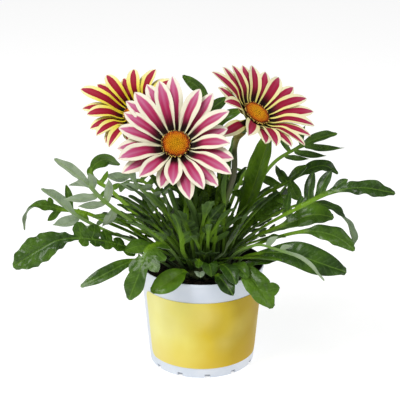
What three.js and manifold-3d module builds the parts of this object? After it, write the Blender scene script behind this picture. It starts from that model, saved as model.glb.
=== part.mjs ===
// A gazania growing in a round nursery pot, in millimetres, +Z up.
// The origin is the middle of the pot's flat underside, and the plant's front looks along -Y.
// Every leaf, stalk and flower part is one closed solid. They spring from a low woody crown in the soil.
import * as THREE from 'three';
import { mergeVertices } from 'three/addons/utils/BufferGeometryUtils.js';
import Module from 'manifold-3d';

const wasm = await Module();
wasm.setup();

// Driving dimensions.
const POT_HEIGHT = 95;
const POT_RIM_RADIUS = 57;
const POT_BASE_RADIUS = 48.5;
const POT_WALL = 1.2;
const POT_FLOOR = 2;
const LIP_HEIGHT = 3;
const LIP_PROUD = 0.4;
const NOTCH_COUNT = 12;
const NOTCH_FIRST = 6;
const NOTCH_SIZE = { deep: 7, wide: 5, high: 3.6 };
const LABEL = { bottom: 10, top: 76.5, from: -162, to: -12, thick: 0.4 };
const ROUND_STEPS = 60;
const SOIL_TOP = 88;
const CROWN = { radius: 30, height: 12, rings: 6, steps: 36 };
const GAP = 0.3;
const ROOT_STANDOFF = 0.35;
const SHEATH_LENGTH = 5;
const SHIFT = { step: 0.75, turn: 12, down: 4.5, up: 9 };

// A leaf's section on its stem and on its blade, mm, and its lobes. span is half a lobe's foot, as a
// share of the midrib, and places and steps say where along the leaf its rings of points stand.
const PETIOLE = { half: 1.9, top: 0.5, under: 1.3, rib: 1.0, ends: 0.1, places: [0, 0.35, 0.7, 1] };
const BLADE = {
  top: 0.5, under: 0.8, rib: 0.8, widest: 0.58, rise: 0.12, flat: 0.6,
  places: [0, 0.12, 0.3, 0.5, 0.68, 0.84, 0.95],
};
const LOBE = { span: 0.03, half: 3.6, taper: 1.5, rise: 0.1, steps: [-1, -0.5, 0, 0.5, 1] };
const RING_SPACING = 0.007;

// A flower: its stalk, the cup of joined bracts, the flat hub, the disc and one ray, mm.
const STALK = { foot: 2.9, neck: [0.84, 0.97], straight: 12, tip: 0.05, sides: 8, steps: 14 };
const BRACTS = { length: 19, foot: 2.6, middle: 4.6, top: 7.5 };
const HUB = { radius: 11, thick: 2.2 };
const DISC = { radius: 13.6, height: 4.5 };
const RAY = {
  inner: 8.5, foot: 0.36, fullness: 0.8, skew: 1.35, thick: 0.8, layer: 0.5, spread: 3,
  straight: 0.17, bent: 0.42, places: [0, 0.17, 0.35, 0.6, 0.85],
};

const radians = THREE.MathUtils.degToRad;
const at = (x, y, z) => new THREE.Vector3(x, y, z);

// Materials, one for each kind of surface.
const finish = (color, roughness) => new THREE.MeshStandardMaterial({ color, roughness, metalness: 0 });
const POT_PLASTIC = finish('#e9ebf2', 0.35);
const LABEL_FILM = finish('#eeda5c', 0.4);
const PEAT = finish('#2a1d14', 0.95);
const WOODY = finish('#54612a', 0.8);
const STALK_GREEN = finish('#77902f', 0.55);
const BRACT_GREEN = finish('#77752c', 0.55);
const RAY_ROSE = finish('#c2627f', 0.5);
const RAY_CRIMSON = finish('#b02b45', 0.5);
const DISC_GOLD = finish('#d8890f', 0.8);
const LEAF_DARK = finish('#2f5a1c', 0.4);
const LEAF_BRIGHT = finish('#5c8526', 0.4);
const LEAF_SILVER = finish('#a7bd9c', 0.7);

// Solids.
function solidOf(geometry) {
  const bare = geometry.clone();
  bare.deleteAttribute('normal');
  bare.deleteAttribute('uv');
  const merged = mergeVertices(bare, 1e-4);
  return new wasm.Manifold(new wasm.Mesh({
    numProp: 3,
    vertProperties: merged.attributes.position.array,
    triVerts: new Uint32Array(merged.index.array),
  }));
}

function geometryOf(solid) {
  const mesh = solid.getMesh();
  const geometry = new THREE.BufferGeometry();
  geometry.setAttribute('position', new THREE.BufferAttribute(mesh.vertProperties, 3));
  geometry.setIndex(new THREE.BufferAttribute(mesh.triVerts, 1));
  geometry.computeVertexNormals();
  return geometry;
}

// A closed skin over rings of points, with a flat cap on the first ring and one point as its tip.
// The rings run anticlockwise as seen from the tip.
function skinOver(rings, tip) {
  const size = rings[0].length;
  const points = [...rings.flat(), tip];
  const faces = [];
  for (let i = 1; i < size - 1; i += 1) {
    faces.push(0, i + 1, i);
  }
  for (let ring = 0; ring < rings.length; ring += 1) {
    for (let i = 0; i < size; i += 1) {
      const here = ring * size + i;
      const next = ring * size + ((i + 1) % size);
      if (ring === rings.length - 1) {
        faces.push(here, next, points.length - 1);
      } else {
        faces.push(here, next, next + size, here, next + size, here + size);
      }
    }
  }
  const geometry = new THREE.BufferGeometry().setFromPoints(points);
  geometry.setIndex(faces);
  return geometry;
}

function lathe(profile, steps) {
  const points = profile.map(([radius, height]) => new THREE.Vector2(radius, height));
  return new THREE.LatheGeometry(points, steps).rotateX(Math.PI / 2);
}

const plant = new THREE.Group();

function addPiece(name, geometry, material) {
  const mesh = new THREE.Mesh(geometry, material);
  mesh.name = name;
  plant.add(mesh);
  return mesh;
}

// The pot: a tapered wall on a flat floor, with drain notches cut through the corner at its foot.
const wallRadius = (height) => (
  POT_BASE_RADIUS + (POT_RIM_RADIUS - LIP_PROUD - POT_BASE_RADIUS) * (height / POT_HEIGHT)
);

function pot() {
  const lipFoot = POT_HEIGHT - LIP_HEIGHT;
  const body = solidOf(lathe([
    [0, 0],
    [wallRadius(0), 0],
    [wallRadius(lipFoot), lipFoot],
    [POT_RIM_RADIUS, lipFoot + LIP_PROUD],
    [POT_RIM_RADIUS, POT_HEIGHT],
    [wallRadius(POT_HEIGHT) - POT_WALL, POT_HEIGHT],
    [wallRadius(POT_FLOOR) - POT_WALL, POT_FLOOR],
    [0, POT_FLOOR],
  ], ROUND_STEPS));
  let cut = body;
  for (let i = 0; i < NOTCH_COUNT; i += 1) {
    const notch = new THREE.BoxGeometry(NOTCH_SIZE.deep, NOTCH_SIZE.wide, NOTCH_SIZE.high * 2);
    notch.translate(POT_BASE_RADIUS, 0, 0);
    notch.rotateZ(radians(NOTCH_FIRST + (i * 360) / NOTCH_COUNT));
    cut = cut.subtract(solidOf(notch));
  }
  return geometryOf(cut);
}

// The label: a thin strip bent round the wall, its facets in line with the wall's own.
function label() {
  const step = 360 / ROUND_STEPS;
  const corners = [];
  for (let angle = LABEL.from; angle <= LABEL.to; angle += step) {
    corners.push([Math.cos(radians(angle)), Math.sin(radians(angle))]);
  }
  const ring = ([x, y]) => {
    const inner = (height) => wallRadius(height) + GAP;
    const outer = (height) => inner(height) + LABEL.thick;
    return [
      at(x * inner(LABEL.bottom), y * inner(LABEL.bottom), LABEL.bottom),
      at(x * inner(LABEL.top), y * inner(LABEL.top), LABEL.top),
      at(x * outer(LABEL.top), y * outer(LABEL.top), LABEL.top),
      at(x * outer(LABEL.bottom), y * outer(LABEL.bottom), LABEL.bottom),
    ];
  };
  const rings = corners.map(ring);
  const points = rings.flat();
  const faces = [];
  const last = points.length - 4;
  faces.push(0, 2, 1, 0, 3, 2);
  faces.push(last, last + 1, last + 2, last, last + 2, last + 3);
  for (let start = 0; start < last; start += 4) {
    for (let i = 0; i < 4; i += 1) {
      const here = start + i;
      const next = start + ((i + 1) % 4);
      faces.push(here, next, next + 4, here, next + 4, here + 4);
    }
  }
  const geometry = new THREE.BufferGeometry().setFromPoints(points);
  geometry.setIndex(faces);
  return geometry;
}

// The soil fills the pot to a little under its rim.
function soil() {
  const inside = (height) => wallRadius(height) - POT_WALL - GAP;
  const foot = POT_FLOOR + GAP;
  return lathe([[0, foot], [inside(foot), foot], [inside(SOIL_TOP), SOIL_TOP], [0, SOIL_TOP]], ROUND_STEPS);
}

// The crown: a low dome that carries every root of a leaf or stalk.
const CROWN_FOOT = SOIL_TOP + GAP;

function crown() {
  const profile = [[0, CROWN_FOOT], [CROWN.radius, CROWN_FOOT]];
  for (let ring = CROWN.rings - 1; ring > 0; ring -= 1) {
    const tilt = radians((ring * 90) / CROWN.rings);
    profile.push([CROWN.radius * Math.sin(tilt), CROWN_FOOT + CROWN.height * Math.cos(tilt)]);
  }
  profile.push([0, CROWN_FOOT + CROWN.height]);
  return lathe(profile, CROWN.steps);
}

// Where a leaf or stalk leaves the crown: tilt is measured from straight up, azimuth from +X.
function rootOn(tilt, azimuth) {
  const out = at(Math.cos(radians(azimuth)), Math.sin(radians(azimuth)), 0);
  const normal = out.clone().multiplyScalar(Math.sin(radians(tilt)) / CROWN.radius);
  normal.z = Math.cos(radians(tilt)) / CROWN.height;
  normal.normalize();
  const seat = out.clone().multiplyScalar(CROWN.radius * Math.sin(radians(tilt)));
  seat.z = CROWN_FOOT + CROWN.height * Math.cos(radians(tilt));
  const start = seat.addScaledVector(normal, ROOT_STANDOFF);
  return [start, start.clone().addScaledVector(normal, SHEATH_LENGTH)];
}

// Leaves. Each row holds:
//   seat    tilt and azimuth of its root on the crown, degrees
//   spine   points that the midrib passes, mm
//   half    half the blade's width, mm
//   blade   where along the midrib the end blade starts, as a share of its length
//   bank    how far the blade's left edge is raised, degrees, as seen from the root
//   twist   how far the blade's end is raised more, degrees, and between which places that comes
//   left, right   the lobes of each side: [place along the midrib, length in mm, degrees they point forward]
const LEAVES = {
  front_left_lobed: {
    seat: [62, 236],
    spine: [[-25, -36, 117], [-35, -50, 132], [-45, -62, 131], [-52, -74, 116], [-62, -80, 91]],
    half: 9, blade: 0.66, bank: -20,
    left: [[0.51, 12, -29], [0.58, 19, 17], [0.67, 16, 33]],
    right: [[0.57, 21, 56], [0.67, 17, 70]],
  },
  front_left_oval: {
    seat: [78, 250],
    spine: [[-14, -46, 104], [-20, -57, 105], [-30, -66, 101], [-44, -71, 95]],
    half: 9.5, blade: 0.36, bank: -35, tone: 'bright',
  },
  front_tiny: {
    seat: [80, 268],
    spine: [[-2, -40, 100], [-1, -49, 99]],
    half: 5, blade: 0.3, bank: 0, tone: 'silver',
  },
  front_right_lobed: {
    seat: [74, 320],
    spine: [[30, -40, 107], [40, -54, 104], [50, -65, 94], [61, -72, 80]],
    half: 11, blade: 0.34, bank: 20,
    left: [[0.83, 8, 70]],
  },
  front_right_small: {
    seat: [80, 290],
    spine: [[12, -46, 101], [19, -60, 99], [27, -70, 91]],
    half: 7, blade: 0.4, bank: 15,
  },
  left_front_narrow: {
    seat: [74, 219],
    spine: [[-36, -32, 108], [-50, -42, 113], [-64, -52, 114], [-82, -62, 108], [-104, -70, 99]],
    half: 6.5, blade: 0.42, bank: -35,
  },
  left_silver_long: {
    seat: [46, 213],
    spine: [
      [-41, -22, 126], [-63, -32, 146], [-85, -42, 168], [-99, -50, 187],
      [-112, -55, 200], [-123, -58, 210],
    ],
    half: 5, blade: 0.72, bank: 55, tone: 'silver',
    left: [[0.61, 24, 46], [0.73, 17, 70]],
    right: [[0.55, 28, -23], [0.62, 25, 19], [0.68, 30, 19], [0.78, 21, 20]],
  },
  left_silver_low: {
    seat: [58, 204],
    spine: [
      [-47, -16, 114], [-69, -22, 126], [-91, -28, 138], [-111, -33, 152],
      [-125, -36, 166], [-138, -40, 178],
    ],
    half: 6, blade: 0.7, bank: 50, tone: 'silver',
    right: [[0.60, 25, 8], [0.72, 35, 9]],
  },
  left_long: {
    seat: [70, 198],
    spine: [
      [-47, -21, 108], [-73, -35, 124], [-101, -46, 134], [-122, -52, 135],
      [-140, -56, 127], [-163, -58, 112],
    ],
    half: 12.6, blade: 0.62, bank: -50,
    left: [[0.32, 12, 24], [0.39, 7, 10], [0.46, 6, 4], [0.52, 5, 2], [0.58, 6, 20]],
    right: [[0.38, 6, 3], [0.45, 10, 21], [0.54, 13, -12], [0.60, 13, 12]],
  },
  right_broad: {
    seat: [74, 330],
    spine: [[36, -34, 112], [61, -48, 122], [84, -57, 122], [105, -62, 116], [124, -64, 110]],
    half: 12.7, blade: 0.36, bank: 42,
  },
  right_long: {
    seat: [44, 328],
    spine: [
      [36, -26, 125], [59, -36, 145], [86, -46, 164], [109, -52, 178],
      [133, -55, 183], [163, -57, 179],
    ],
    half: 7.7, blade: 0.72, bank: 40,
    left: [[0.47, 19, 21], [0.53, 10, 48], [0.59, 27, 28], [0.65, 25, 41], [0.72, 15, 65]],
  },
  right_low: {
    seat: [62, 342],
    spine: [
      [38, -28, 117], [62, -35, 130], [85, -40, 138], [99, -42, 139],
      [118, -44, 134], [133, -46, 123],
    ],
    half: 8.4, blade: 0.62, bank: 40,
  },
  right_bright: {
    seat: [50, 352],
    spine: [[36, -16, 118], [60, -22, 133], [83, -25, 143], [99, -26, 149], [116, -28, 147]],
    half: 10.5, blade: 0.58, bank: 42, tone: 'bright',
  },
  right_arching: {
    seat: [46, 8],
    spine: [
      [35, 2, 117], [66, 3, 139], [88, 2, 149], [113, -2, 149],
      [125, -6, 142], [136, -8, 125], [136, -9, 111],
    ],
    half: 8, blade: 0.56, bank: 20, twist: [-50, 0.72, 0.88],
  },
  right_pinnate_high: {
    seat: [44, 52],
    spine: [
      [22, 24, 103], [40, 36, 137], [59, 44, 165], [70, 48, 177],
      [92, 52, 189], [109, 54, 196], [127, 56, 201],
    ],
    half: 6, blade: 0.76, bank: 25,
    left: [[0.72, 28, 9], [0.79, 22, 36]],
    right: [[0.68, 26, 41], [0.74, 35, 40], [0.80, 40, 52]],
  },
  upright_broad: {
    seat: [24, 36],
    spine: [[22, 8, 112], [36, 12, 135], [46, 15, 158], [52, 18, 178], [58, 20, 197], [61, 22, 217]],
    half: 13.2, blade: 0.22, bank: 20, tone: 'bright',
  },
  right_pinnate_mid: {
    seat: [30, 16],
    spine: [[24, 12, 111], [42, 21, 140], [59, 22, 153], [80, 22, 165], [89, 24, 173], [96, 26, 179]],
    half: 5, blade: 0.78, bank: 30,
    left: [[0.59, 32, -55], [0.75, 24, -39], [0.81, 22, -4]],
    right: [[0.69, 21, 12], [0.83, 25, -4]],
  },
  right_back_arch: {
    seat: [48, 34],
    spine: [
      [36, 22, 112], [64, 32, 138], [81, 36, 159], [91, 38, 166],
      [102, 38, 173], [114, 38, 175], [127, 36, 168],
    ],
    half: 6.6, blade: 0.68, bank: 0, twist: [40, 0.66, 0.78],
    left: [[0.64, 32, 5]],
    right: [[0.57, 24, 23]],
  },
  right_silver_thin: {
    seat: [58, 316],
    spine: [[29, -42, 118], [46, -57, 133], [63, -66, 132], [84, -73, 126], [104, -75, 107]],
    half: 4, blade: 0.6, bank: -55, tone: 'silver',
    right: [[0.56, 19, 34], [0.65, 14, 47]],
  },
  front_right_lip: {
    seat: [76, 308],
    spine: [[28, -44, 106], [37, -55, 107], [42, -60, 102]],
    half: 8, blade: 0.3, bank: 20,
  },
  front_right_grey: {
    seat: [66, 297],
    spine: [[21, -45, 108], [29, -58, 105], [34, -66, 97]],
    half: 7, blade: 0.4, bank: 10, tone: 'silver',
  },
  front_round: {
    seat: [70, 281],
    spine: [[8, -40, 108], [10, -46, 105], [11, -50, 100]],
    half: 7.5, blade: 0.2, bank: 0,
  },
  right_tucked: {
    seat: [76, 334],
    spine: [[36, -30, 104], [47, -45, 111], [60, -58, 117]],
    half: 9.8, blade: 0.4, bank: 20,
  },
  left_back_curl: {
    seat: [46, 156],
    spine: [
      [-48, 12, 122], [-71, 22, 143], [-87, 30, 155], [-98, 34, 161],
      [-103, 36, 168], [-98, 38, 177], [-87, 39, 181], [-76, 38, 175],
    ],
    half: 7.4, blade: 0.76, bank: -65,
    left: [[0.61, 10, 18]],
    right: [[0.61, 10, -31], [0.68, 12, -4], [0.74, 9, 70]],
  },
  left_far_curl: {
    seat: [60, 172],
    spine: [
      [-39, 6, 106], [-76, 14, 122], [-108, 16, 136], [-130, 14, 140],
      [-143, 12, 144], [-153, 9, 145], [-160, 5, 139], [-162, 1, 124],
    ],
    half: 5.5, blade: 0.62, bank: -40, twist: [55, 0.78, 0.9],
    left: [[0.61, 15, -55], [0.71, 15, 31]],
    right: [[0.65, 24, 12], [0.77, 5, 67]],
  },
  left_back_tall: {
    seat: [30, 140],
    spine: [[-22, 8, 112], [-37, 16, 140], [-48, 20, 150], [-59, 24, 160], [-70, 28, 176]],
    half: 4.5, blade: 0.82, bank: 75, tone: 'silver',
    left: [[0.65, 12, -20], [0.77, 13, -30]],
    right: [[0.55, 24, 70], [0.79, 20, 44], [0.93, 31, 20]],
  },
  left_slender: {
    seat: [66, 182],
    spine: [[-38, -2, 108], [-59, -8, 126], [-77, -9, 140], [-99, -8, 141]],
    half: 4, blade: 0.5, bank: -30,
    left: [[0.79, 10, 34]],
  },
  left_strap: {
    seat: [50, 170],
    spine: [[-34, 4, 107], [-47, 7, 121], [-51, 9, 137], [-53, 10, 155]],
    half: 3.4, blade: 0.35, bank: -50,
  },
  centre_left: {
    seat: [22, 190],
    spine: [[-8, -6, 118], [-13, -8, 142], [-19, -10, 163], [-27, -12, 170], [-36, -14, 163]],
    half: 4, blade: 0.62, bank: -40,
    left: [[0.68, 23, 17]],
    right: [[0.61, 23, -15]],
  },
  centre_small: {
    seat: [52, 246],
    spine: [[-17, -34, 118], [-18, -40, 132], [-22, -44, 150], [-26, -45, 157]],
    half: 3, blade: 0.7, bank: 40, tone: 'silver',
    left: [[0.54, 9, 44], [0.64, 7, 19]],
  },
  centre_front: {
    seat: [40, 272],
    spine: [[-2, -24, 114], [1, -28, 133], [9, -32, 149], [20, -34, 162]],
    half: 4.5, blade: 0.6, bank: 100,
    left: [[0.71, 10, 59]],
    right: [[0.57, 6, 59], [0.70, 7, 69]],
  },
  pale_strap: {
    seat: [40, 300],
    spine: [[18, -15, 107], [24, -16, 118], [32, -14, 131], [37, -12, 137]],
    half: 3, blade: 0.3, bank: 20, tone: 'silver',
  },
  right_dark_broad: {
    seat: [58, 18],
    spine: [[31, 6, 113], [44, 8, 128], [60, 10, 141], [71, 10, 148], [82, 10, 154]],
    half: 8, blade: 0.4, bank: 40,
  },
  upright_tall: {
    seat: [16, 110],
    spine: [[1, 12, 111], [4, 20, 147], [7, 28, 193], [6, 36, 233], [-1, 40, 246], [-18, 42, 259]],
    half: 5.7, blade: 0.78, bank: 0, twist: [-60, 0.74, 0.86],
    left: [[0.66, 8, 40]],
    right: [[0.72, 9, 40]],
  },
  upright_back_1: {
    seat: [34, 96],
    spine: [[6, 20, 111], [9, 26, 156], [5, 34, 201], [8, 38, 226], [24, 40, 239]],
    half: 5.5, blade: 0.78, bank: 0, twist: [60, 0.74, 0.86],
    left: [[0.6, 12, 35], [0.7, 12, 35]],
    right: [[0.64, 12, 35], [0.73, 11, 35]],
  },
  upright_back_2: {
    seat: [36, 74],
    spine: [[12, 24, 110], [16, 34, 153], [14, 42, 195], [18, 46, 216], [37, 48, 226]],
    half: 5, blade: 0.76, bank: 0, twist: [50, 0.72, 0.84],
    left: [[0.58, 12, 35], [0.68, 12, 35]],
    right: [[0.62, 12, 35], [0.71, 12, 35]],
  },
  back_right_low: {
    seat: [70, 50],
    spine: [[34, 38, 108], [52, 60, 124], [68, 82, 126], [82, 100, 112], [90, 110, 92]],
    half: 9, blade: 0.48, bank: 0,
  },
  back_right: {
    seat: [56, 62],
    spine: [[20, 42, 116], [32, 66, 140], [42, 90, 152], [50, 112, 148], [56, 128, 134]],
    half: 6, blade: 0.74, bank: 0,
    left: [[0.5, 14, 35], [0.59, 17, 35], [0.68, 15, 35]],
    right: [[0.46, 13, 35], [0.55, 17, 35], [0.64, 16, 35]],
  },
  back_middle_right: {
    seat: [70, 80],
    spine: [[8, 44, 110], [12, 70, 128], [16, 98, 132], [20, 124, 116], [22, 138, 96]],
    half: 9, blade: 0.5, bank: 0,
  },
  back_middle: {
    seat: [52, 96],
    spine: [[-4, 40, 118], [-7, 62, 146], [-9, 84, 164], [-12, 108, 168], [-14, 126, 158]],
    half: 6, blade: 0.74, bank: 0,
    left: [[0.48, 14, 35], [0.57, 18, 35], [0.66, 17, 35]],
    right: [[0.52, 15, 35], [0.61, 18, 35], [0.7, 14, 35]],
  },
  back_middle_left: {
    seat: [72, 112],
    spine: [[-18, 44, 108], [-30, 70, 122], [-42, 96, 122], [-52, 118, 106], [-57, 128, 88]],
    half: 9, blade: 0.48, bank: 0,
  },
  back_left: {
    seat: [56, 126],
    spine: [[-26, 36, 116], [-42, 56, 138], [-58, 76, 148], [-72, 94, 142], [-82, 108, 126]],
    half: 6, blade: 0.74, bank: 0,
    left: [[0.46, 13, 35], [0.55, 16, 35], [0.64, 15, 35]],
    right: [[0.5, 14, 35], [0.59, 17, 35], [0.68, 14, 35]],
  },
  back_left_low: {
    seat: [74, 142],
    spine: [[-38, 30, 106], [-62, 46, 118], [-86, 64, 116], [-106, 78, 98]],
    half: 8, blade: 0.44, bank: 0,
  },
};

const AXIS = at(0, 0, 1);

// Half the end blade's width at a place on it from 0 to 1, as a share of the widest.
const skew = Math.log(0.5) / Math.log(BLADE.widest);
const bell = (place) => Math.sin(Math.PI * Math.min(Math.max(place, 0), 1) ** skew) ** 0.7;

// The places along the midrib where a leaf gets a ring of points: along the stem, at each lobe's
// two corners, two shoulders and tip, and along the end blade. A ring too close to the one before it
// is left out, unless it is a lobe's tip.
function placesOf(leaf) {
  const lobes = [...new Set([...(leaf.left ?? []), ...(leaf.right ?? [])].map(([place]) => place))];
  const first = Math.min(leaf.blade, ...lobes.map((place) => place - LOBE.span));
  const stem = PETIOLE.places.map((share) => share * first);
  const lobed = lobes.flatMap((place) => LOBE.steps.map((step) => place + step * LOBE.span));
  const blade = BLADE.places.map((share) => leaf.blade + share * (1 - leaf.blade));
  const clear = (place) => lobes.every((tip) => Math.abs(place - tip) > RING_SPACING);
  const places = [...lobes, ...[...stem, ...lobed, ...blade].filter(clear)].sort((a, b) => a - b);
  return places.filter((place, i) => i === 0 || lobes.includes(place) || place - places[i - 1] > RING_SPACING);
}

// The midrib's curve, and the leaf's own axes at any place along it: ahead, left and up. turn swings
// the leaf round the pot's axis and lift raises it at its root.
function midribOf(leaf, turn, lift) {
  const [tilt, azimuth] = leaf.seat;
  const [root, sheath] = rootOn(tilt, azimuth + turn);
  const outward = at(Math.cos(radians(azimuth + turn)), Math.sin(radians(azimuth + turn)), 0);
  const raise = new THREE.Vector3().crossVectors(outward, AXIS).normalize();
  const bend = (point) => at(...point)
    .applyAxisAngle(AXIS, radians(turn))
    .sub(root)
    .applyAxisAngle(raise, radians(lift))
    .add(root);
  const curve = new THREE.CatmullRomCurve3([root, sheath, ...leaf.spine.map(bend)], false, 'centripetal');
  const end = curve.getPoint(1);
  const heading = Math.atan2(end.y - root.y, end.x - root.x);
  const across = at(-Math.sin(heading), Math.cos(heading), 0);

  // How much a place belongs to the blade rather than to the stem, from 0 to 1.
  const flat = Math.min(BLADE.flat, leaf.blade + PETIOLE.ends);
  const bladeness = (place) => THREE.MathUtils.smoothstep(place, PETIOLE.ends, flat);

  const axesAt = (place) => {
    const ahead = curve.getTangentAt(place);
    const left = across.clone().addScaledVector(ahead, -across.dot(ahead)).normalize();
    const [twist, from, to] = leaf.twist ?? [0, 0, 1];
    const turned = leaf.bank * bladeness(place) + twist * THREE.MathUtils.smoothstep(place, from, to);
    left.applyAxisAngle(ahead, radians(turned));
    const up = new THREE.Vector3().crossVectors(ahead, left);
    return { point: curve.getPointAt(place), ahead, left, up };
  };
  return { end, bladeness, axesAt };
}

// A leaf's skin: rings of left edge, top, right edge and two points underneath.
function leafGeometry(leaf, turn, lift) {
  const { end, bladeness, axesAt } = midribOf(leaf, turn, lift);

  // The edge runs out along each lobe and back, and otherwise keeps to the stem or the end blade.
  const edgeAt = (place, side) => {
    const { point, ahead, left, up } = axesAt(place);
    const outwards = left.clone().multiplyScalar(side);
    const half = Math.max(PETIOLE.half, leaf.half * bell((place - leaf.blade) / (1 - leaf.blade)));
    const lobes = (side > 0 ? leaf.left : leaf.right) ?? [];
    const lobe = lobes.find(([middle]) => Math.abs(place - middle) < LOBE.span - 1e-6);
    if (lobe) {
      const [middle, length, forward] = lobe;
      const away = Math.abs(place - middle) / LOBE.span;
      const along = outwards.clone().multiplyScalar(Math.cos(radians(forward)))
        .addScaledVector(ahead, Math.sin(radians(forward)));
      const beside = outwards.clone().multiplyScalar(-Math.sin(radians(forward)))
        .addScaledVector(ahead, Math.cos(radians(forward)));
      const reach = length * (1 - away ** LOBE.taper);
      const spread = Math.sign(place - middle) * LOBE.half * Math.sin(Math.PI * away);
      return axesAt(middle).point
        .lerp(point, away)
        .addScaledVector(outwards, half)
        .addScaledVector(along, reach)
        .addScaledVector(beside, spread)
        .addScaledVector(up, reach * LOBE.rise);
    }
    return point.addScaledVector(outwards, half).addScaledVector(up, half * BLADE.rise);
  };

  const ringAt = (place) => {
    const { point, left, up } = axesAt(place);
    const mix = (stem, blade) => THREE.MathUtils.lerp(stem, blade, bladeness(place));
    const under = point.clone().addScaledVector(up, -mix(PETIOLE.under, BLADE.under));
    const rib = mix(PETIOLE.rib, BLADE.rib);
    return [
      edgeAt(place, 1),
      point.clone().addScaledVector(up, mix(PETIOLE.top, BLADE.top)),
      edgeAt(place, -1),
      under.clone().addScaledVector(left, -rib),
      under.clone().addScaledVector(left, rib),
    ];
  };
  return skinOver(placesOf(leaf).map(ringAt), end);
}

// A leaf is pushed aside by what is already there: it takes the smallest turn and lift that clear it.
const WAYS = [];
for (let turn = -SHIFT.turn; turn <= SHIFT.turn; turn += SHIFT.step) {
  for (let lift = -SHIFT.down; lift <= SHIFT.up; lift += SHIFT.step) {
    WAYS.push([turn, lift]);
  }
}
WAYS.sort((a, b) => Math.hypot(...a) - Math.hypot(...b));

const standing = [];

function remember(name, geometry) {
  const solid = solidOf(geometry);
  standing.push({ name, solid, box: solid.boundingBox() });
}

function touching(solid) {
  const { min, max } = solid.boundingBox();
  return standing.find(({ solid: other, box }) => {
    const apart = [0, 1, 2].some((i) => box.min[i] - GAP > max[i] || box.max[i] + GAP < min[i]);
    return !apart && solid.minGap(other, GAP) < GAP;
  });
}

function settledLeaf(name, leaf) {
  let blocker;
  for (const [turn, lift] of WAYS) {
    const geometry = leafGeometry(leaf, turn, lift);
    blocker = touching(solidOf(geometry));
    if (!blocker) {
      return geometry;
    }
  }
  throw new Error(`${name} finds no room beside ${blocker.name}`);
}

// Flowers. stalk is its radius at the top and how much its neck swells, mm. petal is half a ray's width,
// mm, and its arch and curl as shares of its length.
// Each ray is [clock angle in degrees from the top, length in mm, rise in degrees if not the rule].
const FLOWERS = {
  middle: {
    centre: [-22, -42, 218], facing: [0.01, -0.78, 0.625], rise: 15, material: RAY_ROSE,
    seat: [20, 250], stem: [[-4, -15, 121], [-7, -22, 149], [-13, -28, 166]],
    stalk: { top: 2.2, swell: 0.6 }, petal: { half: 7.4, arch: 0.07, curl: 0.02 },
    rays: [
      [357, 59], [25, 50], [37, 54], [63, 52], [78, 46], [97, 47], [111, 53], [127, 59], [141, 57], [154, 54],
      [168, 58], [183, 44], [196, 47], [220, 48], [235, 56], [247, 53], [260, 51], [280, 50], [298, 51],
      [308, 55], [320, 56], [333, 56], [345, 56],
    ],
  },
  right: {
    centre: [48, 0, 234], facing: [0.474, -0.441, 0.762], rise: 16, material: RAY_CRIMSON,
    seat: [24, 330], stem: [[12, -7, 112], [12, -8, 127], [15, -10, 141], [23, -11, 164], [28, -11, 181]],
    stalk: { top: 2.5, swell: 1.3 }, petal: { half: 6.8, arch: 0.09, curl: 0.02 },
    rays: [
      [357, 48], [11, 46], [26, 48], [43, 45], [61, 49], [80, 50], [97, 55], [115, 54], [133, 53], [152, 51],
      [170, 53], [189, 50], [207, 49], [222, 53], [240, 53], [260, 52, -6], [288, 43], [305, 48], [322, 56],
      [340, 50],
    ],
  },
  left: {
    centre: [-59, 24, 229], facing: [-0.3, -0.6, 0.74], rise: 15, material: RAY_CRIMSON,
    seat: [20, 160], stem: [[-16, 12, 118], [-28, 24, 150], [-38, 34, 175], [-44, 42, 190]],
    stalk: { top: 2.2, swell: 0.6 }, petal: { half: 6.1, arch: 0.13, curl: 0.06 },
    rays: [
      [359, 41], [13, 42], [28, 40], [46, 44], [64, 45], [82, 45], [100, 45], [118, 45], [136, 46], [152, 44],
      [168, 36], [182, 50], [195, 44], [208, 44], [228, 45], [246, 44], [258, 51], [277, 57], [292, 50],
      [306, 47], [323, 39], [341, 41],
    ],
  },
};

// The flower's own axes: out of its face, towards its top and towards its right as it is looked at.
function axesOf(flower) {
  const out = at(...flower.facing).normalize();
  const top = AXIS.clone().addScaledVector(out, -AXIS.dot(out)).normalize();
  const right = new THREE.Vector3().crossVectors(top, out);
  return { out, top, right };
}

// Turns a lathe about +Z to stand on a point and look along a direction.
function standOn(geometry, point, direction) {
  const turn = new THREE.Quaternion().setFromUnitVectors(AXIS, direction);
  return geometry.applyQuaternion(turn).translate(point.x, point.y, point.z);
}

function stalkGeometry(flower, neck, out) {
  const [root, sheath] = rootOn(...flower.seat);
  const last = neck.clone().addScaledVector(out, -STALK.straight);
  const way = [root, sheath, ...flower.stem.map((point) => at(...point)), last, neck];
  const path = new THREE.CatmullRomCurve3(way, false, 'centripetal');
  const rings = [];
  for (let step = 0; step < STALK.steps; step += 1) {
    const share = step / (STALK.steps - 1);
    const point = path.getPointAt(share);
    const ahead = path.getTangentAt(share);
    const left = at(0, 1, 0).addScaledVector(ahead, -ahead.y).normalize();
    const up = new THREE.Vector3().crossVectors(ahead, left);
    const radius = THREE.MathUtils.lerp(STALK.foot, flower.stalk.top, share)
      + flower.stalk.swell * THREE.MathUtils.smoothstep(share, ...STALK.neck);
    const ring = [];
    for (let i = 0; i < STALK.sides; i += 1) {
      const angle = (i / STALK.sides) * Math.PI * 2;
      ring.push(point.clone()
        .addScaledVector(left, radius * Math.cos(angle))
        .addScaledVector(up, radius * Math.sin(angle)));
    }
    rings.push(ring);
  }
  return skinOver(rings, path.getPoint(1).addScaledVector(out, STALK.tip));
}

function bractsGeometry(foot, out) {
  const profile = [
    [0, 0], [BRACTS.foot, 0], [BRACTS.middle, BRACTS.length * 0.35],
    [BRACTS.middle, BRACTS.length * 0.7], [BRACTS.top, BRACTS.length], [0, BRACTS.length],
  ];
  return standOn(lathe(profile, 16), foot, out);
}

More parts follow.
